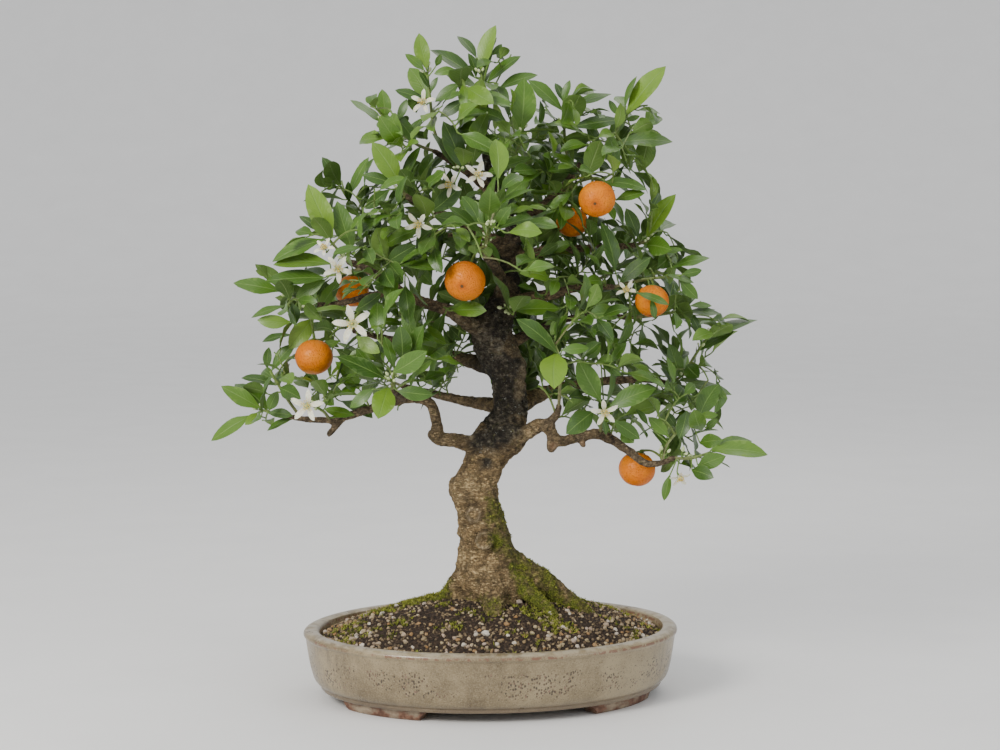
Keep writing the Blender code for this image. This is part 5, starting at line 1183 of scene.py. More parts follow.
def loftInto(shape, ringList):  # adds a closed skin over the rings
    vertices = [[shape.verts.new(point) for point in ring] for ring in ringList]
    for first, second in zip(vertices, vertices[1:]):
        for j in range(len(first)):
            k = (j + 1) % len(first)
            shape.faces.new((first[j], first[k], second[k], second[j]))
    shape.faces.new(vertices[0][::-1])
    shape.faces.new(vertices[-1])


axes = []  # point, way, radius, arc length and kind (0 trunk, 1 root, 2 limb) along each route
shape = bmesh.new()
for kind, group in ((0, {"trunk": trunkLine}), (1, rootLines), (2, limbLines)):
    for name, steps in group.items():
        rows = fineRoute(steps)
        loftInto(shape, tubeRings(rows, bark["trunkSides"] if kind == 0 else bark["limbSides"], kind == 0))
        if kind:
            bmesh.ops.create_icosphere(shape, subdivisions=2, radius=rows[-1][3],
                matrix=Matrix.Translation(rows[-1][:3]))
        travelled = 0.0
        for first, second in zip(rows, rows[1:]):
            way = Vector(second[:3]) - Vector(first[:3])
            axes.append((Vector(first[:3]), way.normalized(), first[3], travelled, kind))
            travelled += way.length
for name, (px, py, depth, radius) in burls.items():
    bmesh.ops.create_icosphere(shape, subdivisions=4, radius=radius * mm,
        matrix=Matrix.Translation(place(px, py, depth)))
wood = builtObject("wood", shape)
joining = wood.modifiers.new("join", "REMESH")
joining.mode = "VOXEL"
joining.voxel_size = bark["voxel"]
joined = evaluatedMesh(wood)
bpy.data.objects.remove(wood)
wood = linked(bpy.data.objects.new("trunkAndBranches", joined))

points = pointsOf(wood)
links = np.zeros(len(joined.edges) * 2, np.int32)
joined.edges.foreach_get("vertices", links)
links = links.reshape(-1, 2)
axisTree = KDTree(len(axes))
for i, axis in enumerate(axes):
    axisTree.insert(axis[0], i)
axisTree.balance()
nearestAxis = [axisTree.find(point)[1] for point in points]
radii = np.array([axes[i][2] for i in nearestAxis])


def soften(points, strength, rounds):  # each point moves towards the middle of its neighbours
    degree = np.bincount(links.ravel(), minlength=len(points))[:, None]
    one, other, count = links[:, 0], links[:, 1], len(points)
    for _ in range(rounds):
        total = np.stack([np.bincount(one, points[other, axis], count)
            + np.bincount(other, points[one, axis], count) for axis in range(3)], 1)
        points = points + strength * (total / degree - points)
    return points


def facingOf(mesh):
    facing = np.zeros(len(mesh.vertices) * 3, np.float32)
    mesh.vertex_normals.foreach_get("vector", facing)
    return facing.reshape(-1, 3)


def treeOf(points, mesh):
    return BVHTree.FromPolygons([tuple(point) for point in points],
        [tuple(face.vertices) for face in mesh.polygons])


points = soften(points, (0.5 * np.clip((radii - 0.0015) / 0.008, 0.06, 1))[:, None], bark["softening"])
joined.vertices.foreach_set("co", points.ravel())
joined.update()
normals = facingOf(joined).astype(float)
surface = treeOf(points, joined)


def spotAt(px, py):  # the point of the bark at a place in the front view
    found = surface.ray_cast(eye, (place(px, py) - eye).normalized())[0]
    return np.array(found if found else surface.find_nearest(place(px, py))[0])


ringSpots = [(spotAt(px, py), reach * mm, height * mm, pit) for px, py, reach, height, pit in rings]
moved = np.zeros(len(points))
features = {name: np.zeros(len(points))
    for name in ("recessShade", "moss", "dark", "young", "callus", "cut", "reliefShading")}
for i, (point, nearest) in enumerate(zip(points, nearestAxis)):
    origin, way, radius, travelled, kind = axes[nearest]
    here = Vector(point)
    radial = here - origin
    radial -= way * radial.dot(way)
    spin = Vector((0.3, 0.25, 0.92)) * (travelled + (here - origin).dot(way)) + Vector((kind, 3 * kind, 0))
    thick = min(1, radius / 0.012)
    # Lumps 16 mm apart, wrinkles of 5 mm round the limb and 3 mm along it, and plates with furrows between
    lump = noise.fractal((radial + spin) * 62, 1.0, 2.0, 2)
    wrinkle = 0.6 * noise.fractal(radial * 210 + spin * 150, 0.9, 2.1, 3)
    wrinkle += 0.5 * noise.fractal(radial * 90 + spin * 300, 0.9, 2.1, 2)
    cellular = noise.voronoi(radial * 260 + spin * 170)[0]
    furrow = clamped(1 - (cellular[1] - cellular[0]) * 3.2)
    grain = noise.fractal(here * 620, 0.9, 2.0, 2)
    shift = bark["lumps"] * radius * lump + bark["wrinkles"] * thick * wrinkle
    shift += (bark["grain"] * grain - bark["furrow"] * furrow * thick) * (0.35 + 0.65 * thick)
    moved[i] = shift
    upper = clamped((here.z - bark["fork"] + 0.015 * lump) / 0.014)
    # Painted shade in furrows and hollows, painted light on ridges, grey above the fork, smooth on young wood
    features["recessShade"][i] = clamped((0.1 + 0.6 * upper) * furrow + 0.9 * max(0, -wrinkle - 0.2))
    features["dark"][i] = upper * (1 if kind == 0 else clamped((radius - 0.0035) / 0.004))
    if kind > 1 and here.z < 0.25 and radius < 0.008:
        features["dark"][i] *= 0.35
    features["reliefShading"][i] = clamped(0.5 + 0.9 * wrinkle + 0.4 * lump)
    features["young"][i] = 0 if kind < 2 else clamped((0.0065 - radius) / 0.003)
    px, py, _ = seen(here)
    # Moss up the right side, low on the left and round the foot
    right = clamped((px - np.interp(py, *mossEdge)) / 13 + 0.5 * lump)
    left = clamped((456 - px) / 10) * clamped((py - 568) / 10)
    foot = clamped((py - 586) / 14)
    cover = right * clamped((py - 478) / 42) * 0.85 + left * 0.8
    cover += foot * (0.35 + 0.4 * max(0, normals[i][2]))
    features["moss"][i] = min(1, cover * (0.85 + 0.8 * lump)) if kind < 2 else 0
for spot, reach, height, pit in ringSpots:
    away = np.linalg.norm(points - spot, axis=1) / reach  # 1 on the ring, which has a dip in its middle
    hump = np.exp(-((away - 0.95) / 0.3) ** 2) + 0.55 * np.exp(-(away / 1.3) ** 2)
    hump -= pit * np.exp(-(away / 0.45) ** 2) + 0.35 * np.exp(-((away - 1.7) / 0.25) ** 2)
    near = away < 2.4
    moved[near] = moved[near] * np.clip(0.35 + 0.27 * away[near], 0, 1) + height * hump[near]
    # The bark's own furrows fade on the ring; painted shade darkens its hollow middle and the groove round it
    clean = np.clip(1 - np.exp(-((away - 0.95) / 0.35) ** 2), 0, 1)
    moat = (0.35 + 0.45 * pit) * np.exp(-((away - 1.55) / 0.2) ** 2)
    features["recessShade"] = np.maximum(features["recessShade"] * clean, 0.9 * pit * np.exp(-(away / 0.36) ** 2))
    features["recessShade"] = np.maximum(features["recessShade"], moat)
    pale = min(1, 1.4 * pit) * np.exp(-((away - 0.95) / 0.28) ** 2)
    features["callus"] = np.maximum(features["callus"], pale)
for label, spots in patches.items():
    for px, py, reach in spots:
        away = np.linalg.norm(points - spotAt(px, py), axis=1) / (reach * mm)
        features[label] = np.maximum(features[label], np.clip(1.6 - 1.3 * away, 0, 1))
points = points + normals * moved[:, None]
joined.vertices.foreach_set("co", points.ravel())
joined.update()
for label, values in features.items():
    putAttribute(wood, label, values)
finishPiece(wood, 180, ["wood"], "bark")

# Pot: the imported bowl's profile with rounder turns, on a fine oval, and its four bracket feet
pot = {"halfLength": 0.15, "roundness": 0.78, "steps": 224, "drainRadius": 0.009, "drainReach": 0.062,
    "feet": (41, 139, 221, 319), "footSpan": 40, "footSlant": 3, "footSteps": 24, "footOutside": 0.0185,
    "footInside": 0.033, "footTop": 0.0105, "waviness": 0.0005}
# Each ring's distance inside the widest line and its height, in millimetres: base, bead, wall, lip, inside
# and floor
bowlProfile = [
    (17.2, 8.1), (15.2, 8), (13.8, 8.3), (13.1, 9), (12.9, 9.8), (13.1, 10.6), (13, 11.3), (11.7, 12.3),
    (10, 13.8), (8.4, 15.8), (7.1, 18.8), (6, 23), (4.9, 28), (4, 33.5), (3.1, 39), (2.4, 43.5),
    (1.9, 47), (1.7, 48.8), (1.4, 49.7), (0.8, 50.3), (0.2, 51), (0, 52), (0.2, 53.1), (0.8, 54.1),
    (1.8, 54.9), (3, 55.5), (4.6, 55.7), (6.6, 55.67), (8.6, 55.6), (10.2, 55.3), (11.3, 54.7),
    (12, 53.7), (12.4, 52.4), (12.8, 50.5), (13.6, 47), (14.8, 40), (16.4, 30), (17.6, 22.5),
    (19.2, 18.3), (21.5, 16.7), (30, 16.5), (60, 16.5), (90, 16.5),
]


def onOval(inset, height, angle, wave=0):
    across, deep = pot["halfLength"] - inset - wave, pot["halfLength"] * pot["roundness"] - inset - wave
    return Vector((across * cos(angle), deep * sin(angle), height))


def ovalRing(inset, height, steps):  # the outer wall is a little uneven
    ring = []
    for step in range(steps):
        angle = 2 * pi * step / steps
        wave = pot["waviness"] * sin(3 * angle + 0.8)
        wave += 0.5 * pot["waviness"] * sin(7 * angle + 40 * height)
        wave *= clamped((height - 0.012) / 0.02) if inset < 0.012 else 0
        ring.append(onOval(inset, height, angle, wave))
    return ring


shape = bmesh.new()
loftInto(shape, [ovalRing(inset / 1000, height / 1000, pot["steps"]) for inset, height in bowlProfile])
bowl = builtObject("glazedBowl", shape)
drills = []
for side in (-1, 1):
    shape = bmesh.new()
    bmesh.ops.create_cone(shape, cap_ends=True, segments=48, depth=0.03, radius1=pot["drainRadius"],
        radius2=pot["drainRadius"], matrix=Matrix.Translation((side * pot["drainReach"], 0, 0.012)))
    drills.append(builtObject("drill", shape))
    cut = bowl.modifiers.new("drain", "BOOLEAN")
    cut.operation = "DIFFERENCE"
    cut.object = drills[-1]
drilled = evaluatedMesh(bowl)
bowl.modifiers.clear()
bowl.data = drilled
for drill in drills:
    bpy.data.objects.remove(drill)
finishPiece(bowl, 42, ["pot"], "glaze")

shape = bmesh.new()
outer, inner = pot["footOutside"], pot["footInside"]
for middle in pot["feet"]:
    ringList = []
    for step in range(pot["footSteps"] + 1):
        share = step / (pot["footSteps"] / 2) - 1
        angle = radians(middle + share * pot["footSpan"] / 2)
        low = radians(middle + share * (pot["footSpan"] / 2 - pot["footSlant"]))
        soft = 0.0004 * sin(9 * share + middle)
        ringList.append([onOval(*corner) for corner in (
            (outer - 0.0002, pot["footTop"], angle), (outer - 0.0004 + soft, 0.007, angle),
            (outer + 0.0004 + soft, 0.002, low), (outer + 0.0011, 0.0006, low), (outer + 0.0018, 0, low),
            (inner - 0.001, 0, low), (inner, 0.0008, low), (inner, pot["footTop"], angle))])
    loftInto(shape, ringList)
finishPiece(builtObject("potFeet", shape), 40, look="clay")
for side in ("left", "right"):
    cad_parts["drain_screen_" + side].data.materials[0] = looks["screen"]

# Soil: a closed mound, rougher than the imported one, with its grains and moss set on it by a tree
mound = {"edge": 0.049, "top": 0.08, "roughness": 0.0024, "steps": 180, "rings": 56, "inner": 0.0138,
    "underside": 0.0188, "grit": 0.0011}


def moundHeight(share, angle):
    height = mound["edge"] + (mound["top"] - mound["edge"]) * (1 - share ** 2)
    rough = sin(3 * angle + 5 * share) + 0.7 * sin(5 * angle - 9 * share)
    return height + mound["roughness"] * rough * share * (1 - share)


ringList = [ovalRing(inset, height, mound["steps"]) for inset, height in (
    (0.09, mound["underside"]), (0.0225, mound["underside"]), (0.0185, 0.024), (0.015, 0.042),
    (mound["inner"], 0.0478))]
edge = ovalRing(mound["inner"], mound["edge"], mound["steps"])
for ringNumber in range(mound["rings"]):
    share = 1 - (ringNumber + 0.5) / mound["rings"]
    ring = []
    for step, point in enumerate(edge):
        angle = 2 * pi * step / mound["steps"]
        spot = Vector((point.x * share, point.y * share, moundHeight(share, angle)))
        spot.z += mound["grit"] * noise.fractal(spot * 260, 0.9, 2.0, 3) * min(1, (1 - share) * 14 + 0.3)
        ring.append(spot)
    ringList.append(ring)
shape = bmesh.new()
loftInto(shape, ringList)
soil = builtObject("soilMound", shape)
finishPiece(soil, 180, ["soil"], "soil")


def scatterTree():
    given = geometryTree("scatter on a surface", {"Shape": "Object", "Spacing": "Float", "Density": "Float",
        "Smallest": "Float", "Largest": "Float", "Wobble": "Vector", "Stretch": "Vector", "Seed": "Int",
        "Finish": "Material"})

    def chance(kind, low, high):  # a random number or vector for each point
        first, output = (0, 0) if kind == "FLOAT_VECTOR" else (2, 1)
        inputs = {first: low, first + 1: high, "Seed": given["Seed"]}
        return wireOf("FunctionNodeRandomValue", inputs, output, data_type=kind)

    spread = addNode("GeometryNodeDistributePointsOnFaces", {"Mesh": given["Geometry"],
        "Distance Min": given["Spacing"], "Density Max": given["Density"],
        "Density Factor": attributeIn("cover"), "Seed": given["Seed"]}, distribute_method="POISSON").outputs
    tinted = wireOf("GeometryNodeStoreNamedAttribute", {"Geometry": spread["Points"], "Name": "tint",
        "Value": chance("FLOAT", 0, 1)}, data_type="FLOAT")
    back = wireOf("ShaderNodeVectorMath", {0: given["Wobble"], 1: (-1, -1, -1)}, operation="MULTIPLY")
    lean = wireOf("FunctionNodeEulerToRotation", {"Euler": chance("FLOAT_VECTOR", back, given["Wobble"])})
    turned = wireOf("FunctionNodeRotateRotation", {"Rotation": spread["Rotation"], "Rotate By": lean},
        rotation_space="LOCAL")
    size = wireOf("ShaderNodeVectorMath", {0: chance("FLOAT_VECTOR", given["Stretch"], (1, 1, 1)),
        "Scale": chance("FLOAT", given["Smallest"], given["Largest"])}, operation="SCALE")
    return closeTree(setOn(tinted, given["Shape"], turned, size), given["Finish"])


def pebble(name, fineness, seed):  # an uneven stone, one across
    shape = bmesh.new()
    bmesh.ops.create_icosphere(shape, subdivisions=fineness, radius=0.5)
    for vertex in shape.verts:
        vertex.co *= 1 + 0.5 * noise.noise(vertex.co * 2.3 + Vector((seed, 0, 0)))
    return builtObject(name, shape)


def tuft(name, blades, seed):  # a tuft of bent three-sided moss leaves, one high
    draw = random.Random(seed)
    points, faces = [], []
    for number in range(blades):
        around = number * 2.4 + draw.uniform(-0.4, 0.4)
        out = Vector((cos(around), sin(around), 0))
        side = Vector((-out.y, out.x, 0)) * 0.11
        foot = out * 0.1
        lean = draw.uniform(0.25, 0.9)
        middle = foot + out * lean * 0.35 + upward * 0.5
        tip = foot + out * lean + upward * draw.uniform(0.7, 1.0)
        start = len(points)
        points += [foot - side, foot + side, foot + out * 0.12, middle - side, middle + side,
            middle + out * 0.1 - upward * 0.05, tip]
        faces += [tuple(start + corner for corner in face) for face in ((0, 1, 4, 3), (1, 2, 5, 4),
            (2, 0, 3, 5), (3, 4, 6), (4, 5, 6), (5, 3, 6), (0, 2, 1))]
    made = meshObject(name, points, faces)
    turnOutwards(made)
    return made


def hostFrom(source, name, coverAt):  # a copy of a piece's faces, with how much grows at each point
    host = linked(bpy.data.objects.new(name, source.data.copy()))
    rows = zip(pointsOf(source), facingOf(source.data))
    values = [coverAt(Vector(point), Vector(normal), i) for i, (point, normal) in enumerate(rows)]
    putAttribute(host, "cover", values)
    return host


def onTop(point, normal):  # the mound's open surface
    return 1.0 if normal.z > 0.35 and point.z > mound["edge"] - 0.0012 else 0.0


def outward(point):  # 0 in the pot's middle and 1 at the soil's edge
    return hypot(point.x / (pot["halfLength"] - mound["inner"]),
        point.y / (pot["halfLength"] * pot["roundness"] - mound["inner"]))


def mossAt(point):  # patches of moss round the trunk's foot, thickest to its right
    px = seen(point)[0]
    near = clamped((0.8 - outward(point)) / 0.35)
    patch = noise.fractal(point * 42 + Vector((4, 0, 0)), 0.9, 2.0, 3)
    behind = 0.5 if point.y > 0 and px < 470 else 0
    return clamped((near * (0.1 + (0.26 if px > 520 else behind)) + 0.62 * patch - 0.16) * 2.6)


def scattered(name, source, coverAt, shape, look):
    values = {key.capitalize(): look[key] for key in ("spacing", "density", "wobble", "stretch", "seed")}
    smallest, largest = look["size"]
    values.update(Shape=shape, Smallest=smallest, Largest=largest, Finish=looks[look["finish"]])
    return grown(name, hostFrom(source, name + "Host", coverAt), scatter, values, ("cover",))


scatter = scatterTree()
gravel = {
    "coarseGrit": {"stone": 2, "spacing": 0.0031, "density": 165000, "size": (0.0016, 0.0048), "seed": 3,
                   "stretch": (0.55, 0.6, 0.45), "wobble": (3.14, 3.14, 3.14), "finish": "pebble",
                   "cover": lambda point: 0.1 + 0.9 * max(0, outward(point) - 0.5) / 0.5},
    "fineGrit": {"stone": 1, "spacing": 0.0019, "density": 330000, "size": (0.0015, 0.0036), "seed": 8,
                 "stretch": (0.35, 0.5, 0.3), "wobble": (3.14, 3.14, 3.14), "finish": "grit",
                 "cover": lambda point: 0.9},
}
for name, look in gravel.items():
    stone = pebble(name + "Stone", look["stone"], look["seed"])
    piece = scattered(name, soil, lambda point, normal, _: onTop(point, normal) * look["cover"](point),
        stone, look)
    finishPiece(piece, 40)
    bpy.data.objects.remove(stone)
# Single stones: place in the front view, size in millimetres and shade of the pebbles' colours
stones = [(486, 635, 6.6, 1.0), (519, 603, 6.0, 0.95), (507, 625, 4.4, 0.74), (352, 640, 5.0, 0.9),
          (364, 632, 4.2, 0.86), (400, 628, 4.0, 0.6), (424, 640, 4.4, 0.62), (548, 640, 4.4, 0.86),
          (606, 626, 4.6, 0.9), (458, 641, 4.0, 0.7), (378, 645, 4.6, 0.88), (500, 642, 4.2, 0.62),
          (535, 628, 3.8, 0.84)]
soilTree = treeOf(pointsOf(soil), soil.data)
shape = bmesh.new()
tints = []
for number, (px, py, size, tint) in enumerate(stones):
    rays = [(place(px, py - lift) - eye).normalized() for lift in range(0, 24, 2)]
    seat = next(spot for spot in (soilTree.ray_cast(eye, ray)[0] for ray in rays) if spot)
    made = bmesh.ops.create_icosphere(shape, subdivisions=3, radius=size * mm / 2)["verts"]
    for vertex in made:
        uneven = 1 + 0.42 * noise.noise(vertex.co * 420 + Vector((number * 3.1, 0, 0)))
        flat = Vector((vertex.co.x, vertex.co.y * 0.85, vertex.co.z * 0.72))
        vertex.co = flat * uneven + seat + upward * size * 0.2 * mm
    tints += [tint] * len(made)
piece = builtObject("singleStones", shape)
putAttribute(piece, "tint", tints)
finishPiece(piece, 60, look="pebble")


def barkCover(point, normal, i):  # tufts stand where the stain of moss is strongest
    if point.z <= 0.052:
        return 0
    bare = 0.95 if point.z < 0.1 else 1.2
    return max(0, features["moss"][i] * 1.7 - bare + 0.9 * noise.noise(point * 70))


soilTufts = {"spacing": 0.0013, "density": 520000, "size": (0.0018, 0.0038), "wobble": (0.5, 0.5, 3.14),
    "stretch": (0.8, 0.8, 0.7), "seed": 4, "finish": "moss"}
barkTufts = {**soilTufts, "spacing": 0.0011, "density": 700000, "size": (0.0009, 0.0021), "seed": 6}
tuftShape = tuft("tuftShape", 4, 2)
piece = scattered("soilMoss", soil, lambda point, normal, _: onTop(point, normal) * mossAt(point), tuftShape,
    soilTufts)
finishPiece(piece, 0)
finishPiece(scattered("barkMoss", wood, barkCover, tuftShape, barkTufts), 0)
bpy.data.objects.remove(tuftShape)

# Fruit: a flattened ball with a furrowed stem end and a small scar at the other end
fruit = {"flatness": 0.93, "around": 64, "upDown": 44, "stemDip": 0.055, "scarDip": 0.03, "furrows": 9,
    "furrow": 0.012, "stemWidth": 0.24, "scarWidth": 0.14, "unevenness": 0.01, "calyxRadius": 0.0032,
    "calyxHeight": 0.0013, "gap": 0.00035, "stalk": 0.0009}


def gridFaces(first, rows, steps):  # between closed rows of points, from the first point on
    return [(a + step, a + steps + step, a + steps + (step + 1) % steps, a + (step + 1) % steps)
        for a in range(first, first + (rows - 1) * steps, steps) for step in range(steps)]


def fruitMesh(name, centre, radius, stem, scarWay, seed):
    turned = stem.to_track_quat("Z", "Y").to_matrix()
    scarWay = turned.inverted() @ scarWay
    points, offsets = [], []

    def peelPoint(spot):  # with the dip at the scar, and its offset from there
        offset = spot.normalized() - scarWay
        spot = spot * (1 - fruit["scarDip"] * exp(-(offset.length / fruit["scarWidth"]) ** 2))
        points.append(centre + turned @ (spot * radius))
        offsets.append(offset)

    for row in range(1, fruit["upDown"]):
        down = pi * row / fruit["upDown"]
        flat = sin(down)
        for step in range(fruit["around"]):
            angle = 2 * pi * step / fruit["around"]
            ribs = fruit["furrow"] * cos(fruit["furrows"] * angle + seed) * exp(-(down / 0.55) ** 2)
            reach = 1 + ribs * min(1, down * 3)
            height = cos(down) * fruit["flatness"]
            height -= fruit["stemDip"] * exp(-(flat / fruit["stemWidth"]) ** 2) * (row < fruit["upDown"] / 2)
            spot = Vector((flat * reach * cos(angle), flat * reach * sin(angle), height))
            spot *= 1 + fruit["unevenness"] * noise.noise(spot * 1.7 + Vector((seed, 0, 0)))
            peelPoint(spot)
    count = fruit["around"]
    faces = gridFaces(0, fruit["upDown"] - 1, count)
    top, bottom = len(points), len(points) + 1
    peelPoint(upward * (fruit["flatness"] - fruit["stemDip"]))
    peelPoint(-upward * fruit["flatness"])
    last = (fruit["upDown"] - 2) * count
    faces += [(step, (step + 1) % count, top) for step in range(count)]
    faces += [(last + (step + 1) % count, last + step, bottom) for step in range(count)]
    made = meshObject(name, points, faces)
    turnOutwards(made)
    putAttribute(made, "fromScar", offsets)
    return made


def calyxInto(points, faces, start, way):  # a five-lobed cap that holds the fruit
    first = len(points)
    rows, steps = ((1.0, -0.0002), (1.02, 0.0003), (0.62, 0.0008), (0.34, fruit["calyxHeight"])), 20
    for share, height in rows:
        for step in range(steps):
            angle = 2 * pi * step / steps
            lobe = 1 + (0.3 * cos(5 * angle) if share > 0.6 else 0)
            drop = 0.0011 * max(0, share - 0.5) * (1 + cos(5 * angle)) / 2
            points.append(start + outFrom(way, angle) * (fruit["calyxRadius"] * share * lobe)
                + way * (height - drop))
    faces += gridFaces(first, len(rows), steps)
    faces.append(tuple(first + step for step in reversed(range(steps))))
    faces.append(tuple(first + (len(rows) - 1) * steps + step for step in range(steps)))


scarPlaces = {"middle": (462, 286), "upper_right": (594, 204)}  # where the front view shows the scar
calyxPoints, calyxFaces = [], []
for number, (name, (owner, spot, radius, stem, path)) in enumerate(fruits.items()):
    centre, size = fruitSpots[number]
    way = (turn @ Vector(stem)).normalized()
    scarWay = -way
    if name in scarPlaces:
        x, y = (scarPlaces[name][0] - spot[0]) / radius, (scarPlaces[name][1] - spot[1]) / radius
        scarWay = (turn @ Vector((x, -sqrt(1 - x * x - y * y), -y))).normalized()
    piece = fruitMesh("fruit_" + name + "_peel", centre, size, way, scarWay, 3.7 * number)
    finishPiece(piece, 180, ["fruit_" + name], "peel")
    start = centre + way * (size * (fruit["flatness"] - fruit["stemDip"] * 0.6) + fruit["gap"])
    calyxInto(calyxPoints, calyxFaces, start, way)
    _, root = nearestOn(twigs[owner], path[0][:2])
    line = [root, *[place(*step) for step in path[1:]], start + way * fruit["calyxHeight"]]
    addStem(line, [0.0012, *[fruit["stalk"]] * (len(line) - 2), 0.0012], (0.4, 0.1), 4)
piece = meshObject("calyces", calyxPoints, calyxFaces)
turnOutwards(piece)
finishPiece(piece, 50, look="stem")

# Blossom: five strap-shaped petals round a ring of stamens and a green style
flower = {"petals": 5, "length": 0.0125, "width": 0.0047, "root": 0.0012, "rise": (0.25, 0.45), "arch": 0.1,
    "lean": 0.2, "foot": 0.0012, "neck": 0.004, "gap": 0.00035, "stamens": 16, "height": 0.0058,
    "filament": 0.00024, "ring": 0.0011, "spread": (0.0014, 0.0036), "uneven": (0.78, 1.05),
    "anther": (0.0009, 0.0009, 0.0019), "style": 0.0005, "thickness": 0.0006}
petalLook = {"fold": (0.18, 0.34), "wave": (0.0, 0.25), "twist": (-0.25, 0.25), "sideways": (-0.04, 0.04),
    "top": "petal", "under": "petal"}
Grain = namedtuple("Grain", "spot way size")
petals, filaments, anthers = [], [], []
draw = random.Random(31)
for name, (owner, spot, facing, size) in blossoms.items():
    centre = place(*spot)
    way = (turn @ Vector(facing)).normalized()
    for number in range(flower["petals"]):
        angle = 2 * pi * (number + 0.35 * sin(spot[0])) / flower["petals"]
        out = outFrom(way, angle)
        base = centre + out * flower["root"] * size * 0.6
        tip = centre + (out + way * flower["rise"][number % 2]).normalized() * flower["length"] * size
        petals.append(Leaf(centre, base, tip, way - out * flower["lean"], flower["width"] * size * 0.84,
            flower["arch"] * (1.5, 0.8)[number % 2], 0.5))
    for number in range(flower["stamens"]):
        angle = 2 * pi * (number + draw.uniform(-0.25, 0.25)) / flower["stamens"]
        out = outFrom(way, angle)
        foot = centre + out * flower["ring"] * size
        lean = draw.uniform(*flower["spread"]) * size
        top = centre + out * lean + way * flower["height"] * size * draw.uniform(*flower["uneven"])
        middle = foot.lerp(top, 0.5) + out * 0.0003
        filaments.append((smoothRoute([foot, middle, top], 2), flower["filament"]))
        anthers.append(Grain(top, way + out * draw.uniform(-0.6, 0.6), flower["anther"]))
    end = centre + way * flower["height"] * size * 0.95
    filaments.append(([centre - way * 0.0006, centre + way * 0.002, end], flower["style"]))
    anthers.append(Grain(end, way, (0.0015, 0.0015, 0.0012)))
    behind = centre - way * (flower["foot"] * size + flower["gap"])
    _, root = nearestOn(twigs[owner], spot[:2])
    addStem([root, behind - way * flower["neck"], behind, centre - way * 0.0003],
        [0.0007, 0.0006, 0.0013 * size, 0.0016 * size], (0.1, 0.0), 3)
outline = []  # a strap, widest past its middle, with a round end
for row in range(9):
    along = row / 8
    half = 0.2 + 0.3 * sin(pi / 2 * min(1, along / 0.58)) ** 1.2
    half *= sqrt(max(0, 1 - max(0, (along - 0.58) / 0.425) ** 1.7))
    outline.append((along, half))
petalBlade = bladeShape("petalBlade", outline, flower["thickness"])
finishPiece(setBlades("petals", petals, petalBlade, 5.0, petalLook, 23), 50,
    ["blossom_" + name for name in blossoms])
for made in (leafBlade, petalBlade):
    bpy.data.objects.remove(made)


def tubeTree():
    given = geometryTree("round stems", {"Sides": "Int", "Finish": "Material"})
    line = wireOf("GeometryNodeMeshToCurve", {"Mesh": given["Geometry"]})
    circle = wireOf("GeometryNodeCurvePrimitiveCircle", {"Resolution": given["Sides"], "Radius": 1.0})
    tube = wireOf("GeometryNodeCurveToMesh", {"Curve": line, "Profile Curve": circle,
        "Scale": attributeIn("thickness"), "Fill Caps": True})
    return closeTree(realOf(tube), given["Finish"])


tubes = tubeTree()


def roundStems(name, lines, sides, finish):
    points, links, thicknesses, ages = [], [], [], []
    for line, thickness, age in lines:
        links += [(len(points) + i, len(points) + i + 1) for i in range(len(line) - 1)]
        points += line
        thicknesses += thickness
        ages += age
    host = meshObject(name + "Lines", points, (), links)
    putAttribute(host, "thickness", thicknesses)
    putAttribute(host, "age", ages)
    piece = grown(name, host, tubes, {"Sides": sides, "Finish": looks[finish]}, ("thickness",))
    turnOutwards(piece)
    return piece


threads = [(line, [thick] * len(line), [0.0] * len(line)) for line, thick in filaments]
finishPiece(roundStems("filaments", threads, 4, "filament"), 60)

# Buds: clusters at the twigs' ends, in the front view's places and on some of the thin twigs
budLook = {"stalk": (0.0025, 0.0065), "size": (0.0016, 0.0034), "long": 1.45, "seed": 13, "reach": 26,
    "others": 34, "each": 4}


def grainTree():
    given = geometryTree("set grains", {"Shape": "Object", "Finish": "Material"})
    placed = setOn(given["Geometry"], given["Shape"], attributeIn("turn"), attributeIn("size"))
    return closeTree(placed, given["Finish"])


grains = grainTree()


def finishGrains(name, rows, fineness, taper, finish):  # a ball on each row's spot, narrower at its far end
    shape = bmesh.new()
    bmesh.ops.create_icosphere(shape, subdivisions=fineness, radius=0.5)
    for vertex in shape.verts:
        slim = 1 - taper * (vertex.co.z + 0.5)
        vertex.co = Vector((vertex.co.x * slim, vertex.co.y * slim, vertex.co.z))
    ball = builtObject(name + "Shape", shape)
    host = meshObject(name + "Points", [row.spot for row in rows])
    putAttribute(host, "turn", [tuple(row.way.to_track_quat("Z", "Y")) for row in rows])
    putAttribute(host, "size", [row.size for row in rows])
    piece = grown(name, host, grains, {"Shape": ball, "Finish": looks[finish]}, ("turn", "size"))
    finishPiece(piece, 180)
    bpy.data.objects.remove(ball)


finishGrains("anthers", anthers, 1, 0, "anther")
draw = random.Random(budLook["seed"])
twigEnds = [(line[-1], (line[-1] - line[-2]).normalized()) for line in twigs.values()]
twigPoints = [(a, (b - a).normalized()) for line in twigs.values() for a, b in zip(line, line[1:])]
twigPoints += twigEnds
buds = []


def budCluster(root, heading, count):
    for number in range(count):
        around = number * leafRule["spiral"] + draw.uniform(-0.4, 0.4)
        out = outFrom(heading, around)
        way = (heading * draw.uniform(0.3, 1.0) + out * draw.uniform(0.4, 1.1) + upward * 0.5).normalized()
        foot = root + heading * draw.uniform(-0.003, 0.0015)
        end = foot + way * draw.uniform(*budLook["stalk"])
        size = draw.uniform(*budLook["size"])
        if not all((end - centre).length > radius + 0.002 for centre, radius in fruitSpots):
            continue
        addStem([foot, foot.lerp(end, 0.5) + out * 0.0003, end], [0.0005, 0.0004, 0.0006], (0.0, 0.0), 2)
        buds.append(Grain(end + way * size * 0.5, way, (size, size, size * budLook["long"])))


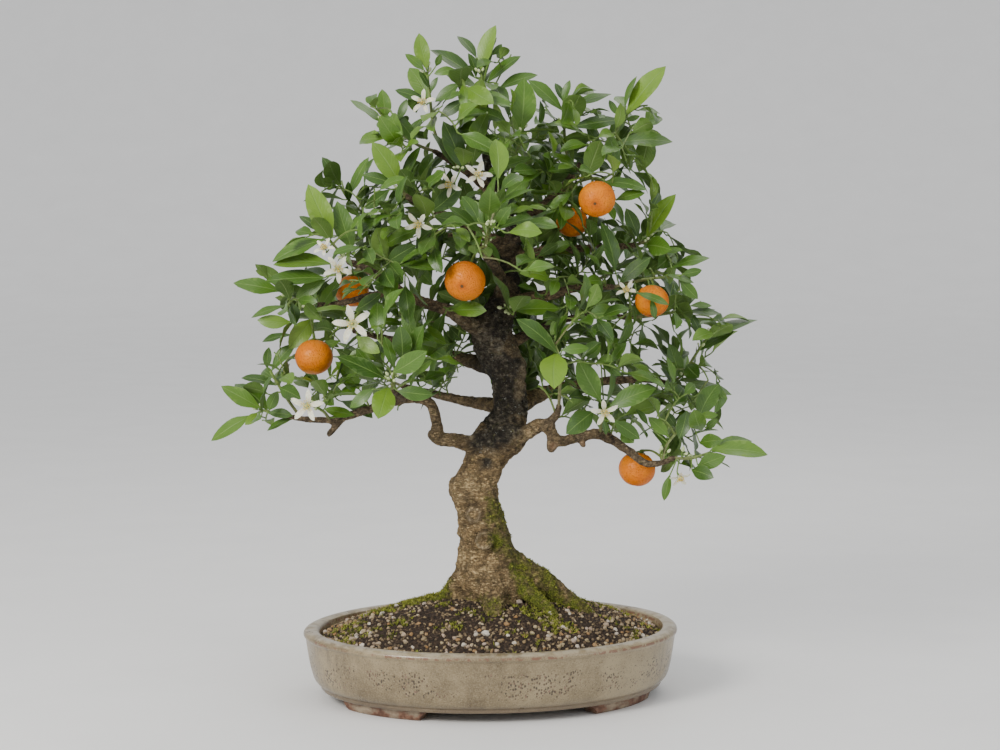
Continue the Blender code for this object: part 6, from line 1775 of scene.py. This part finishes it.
for px, py, count in budPlaces:
    best = min(twigPoints, key=lambda pair: hypot(seen(pair[0])[0] - px, seen(pair[0])[1] - py)
        + 0.15 * seen(pair[0])[2])
    if hypot(seen(best[0])[0] - px, seen(best[0])[1] - py) < budLook["reach"]:
        budCluster(best[0], best[1], count)
thinEnds = [stem for stem in stems if stem[2][-1] == thinAge and stem[0][-1].y > -0.02]
for points, _, _ in draw.sample(thinEnds, min(budLook["others"], len(thinEnds))):
    budCluster(points[-1], (points[-1] - points[-2]).normalized(), budLook["each"])
finishGrains("buds", buds, 2, 0.25, "bud")
finishPiece(roundStems("greenStems", stems, twigLook["sides"], "stem"), 60)

# Floor, lights and camera
studio = {"halfWidth": 7.0, "front": -6.0, "bendFrom": 4.5, "bend": 2.5, "top": 7.0, "drop": 0.0002,
    "aim": 0.27, "sky": 0.5, "sun": 1.3, "lens": 77.4}
# Each light's place, size, power and colour
lamps = {"keyLight": ((-1.0, -1.3, 1.05), 0.7, 30.0, (1.0, 0.97, 0.92)),
         "fillLight": ((1.3, -1.0, 0.7), 1.0, 6.0, (0.94, 0.97, 1.0)),
         "backLight": ((0.5, 0.9, 1.7), 1.2, 7.0, (1.0, 0.98, 0.93))}
angles = [i * pi / 24 for i in range(13)]
bend = [(studio["bendFrom"] + studio["bend"] * sin(angle), studio["bend"] - studio["bend"] * cos(angle))
    for angle in angles]
profile = [(studio["front"], 0.0), *bend, (studio["bendFrom"] + studio["bend"], studio["top"])]
count = len(profile)
floorPoints = [turn @ Vector((x, y, z - studio["drop"])) for x in (-studio["halfWidth"], studio["halfWidth"])
    for y, z in profile]
floor = meshObject("floor", floorPoints, [(i, i + count, i + count + 1, i + 1) for i in range(count - 1)])
floor.data.materials.append(looks["floor"])
floor.data.shade_smooth()
for name, (spot, size, power, colour) in lamps.items():
    lamp = linked(bpy.data.objects.new(name, bpy.data.lights.new(name, "AREA")))
    lamp.data.shape = "DISK"
    lamp.data.size, lamp.data.energy, lamp.data.color = size, power, colour
    lamp.location = turn @ Vector(spot)
    aim = turn @ Vector((0, 0, studio["aim"])) - lamp.location
    lamp.rotation_euler = aim.to_track_quat("-Z", "Y").to_euler()
sun = linked(bpy.data.objects.new("ceilingLight", bpy.data.lights.new("ceilingLight", "SUN")))
sun.data.energy = studio["sun"]
sun.data.angle = radians(100)
sun.rotation_euler = (radians(28), radians(-14), 0)
world = bpy.data.worlds.new("studio")
world.use_nodes = True
world.node_tree.nodes["Background"].inputs["Color"].default_value = (0.93, 0.95, 1.0, 1)
world.node_tree.nodes["Background"].inputs["Strength"].default_value = studio["sky"]
bpy.context.scene.world = world
camera = linked(bpy.data.objects.new("camera", bpy.data.cameras.new("camera")))
camera.data.lens = studio["lens"]
camera.location = eye
camera.rotation_euler = (radians(90) - frontView["down"], 0, frontView["round"])
bpy.context.scene.camera = camera
print("floor, lights and camera are set")
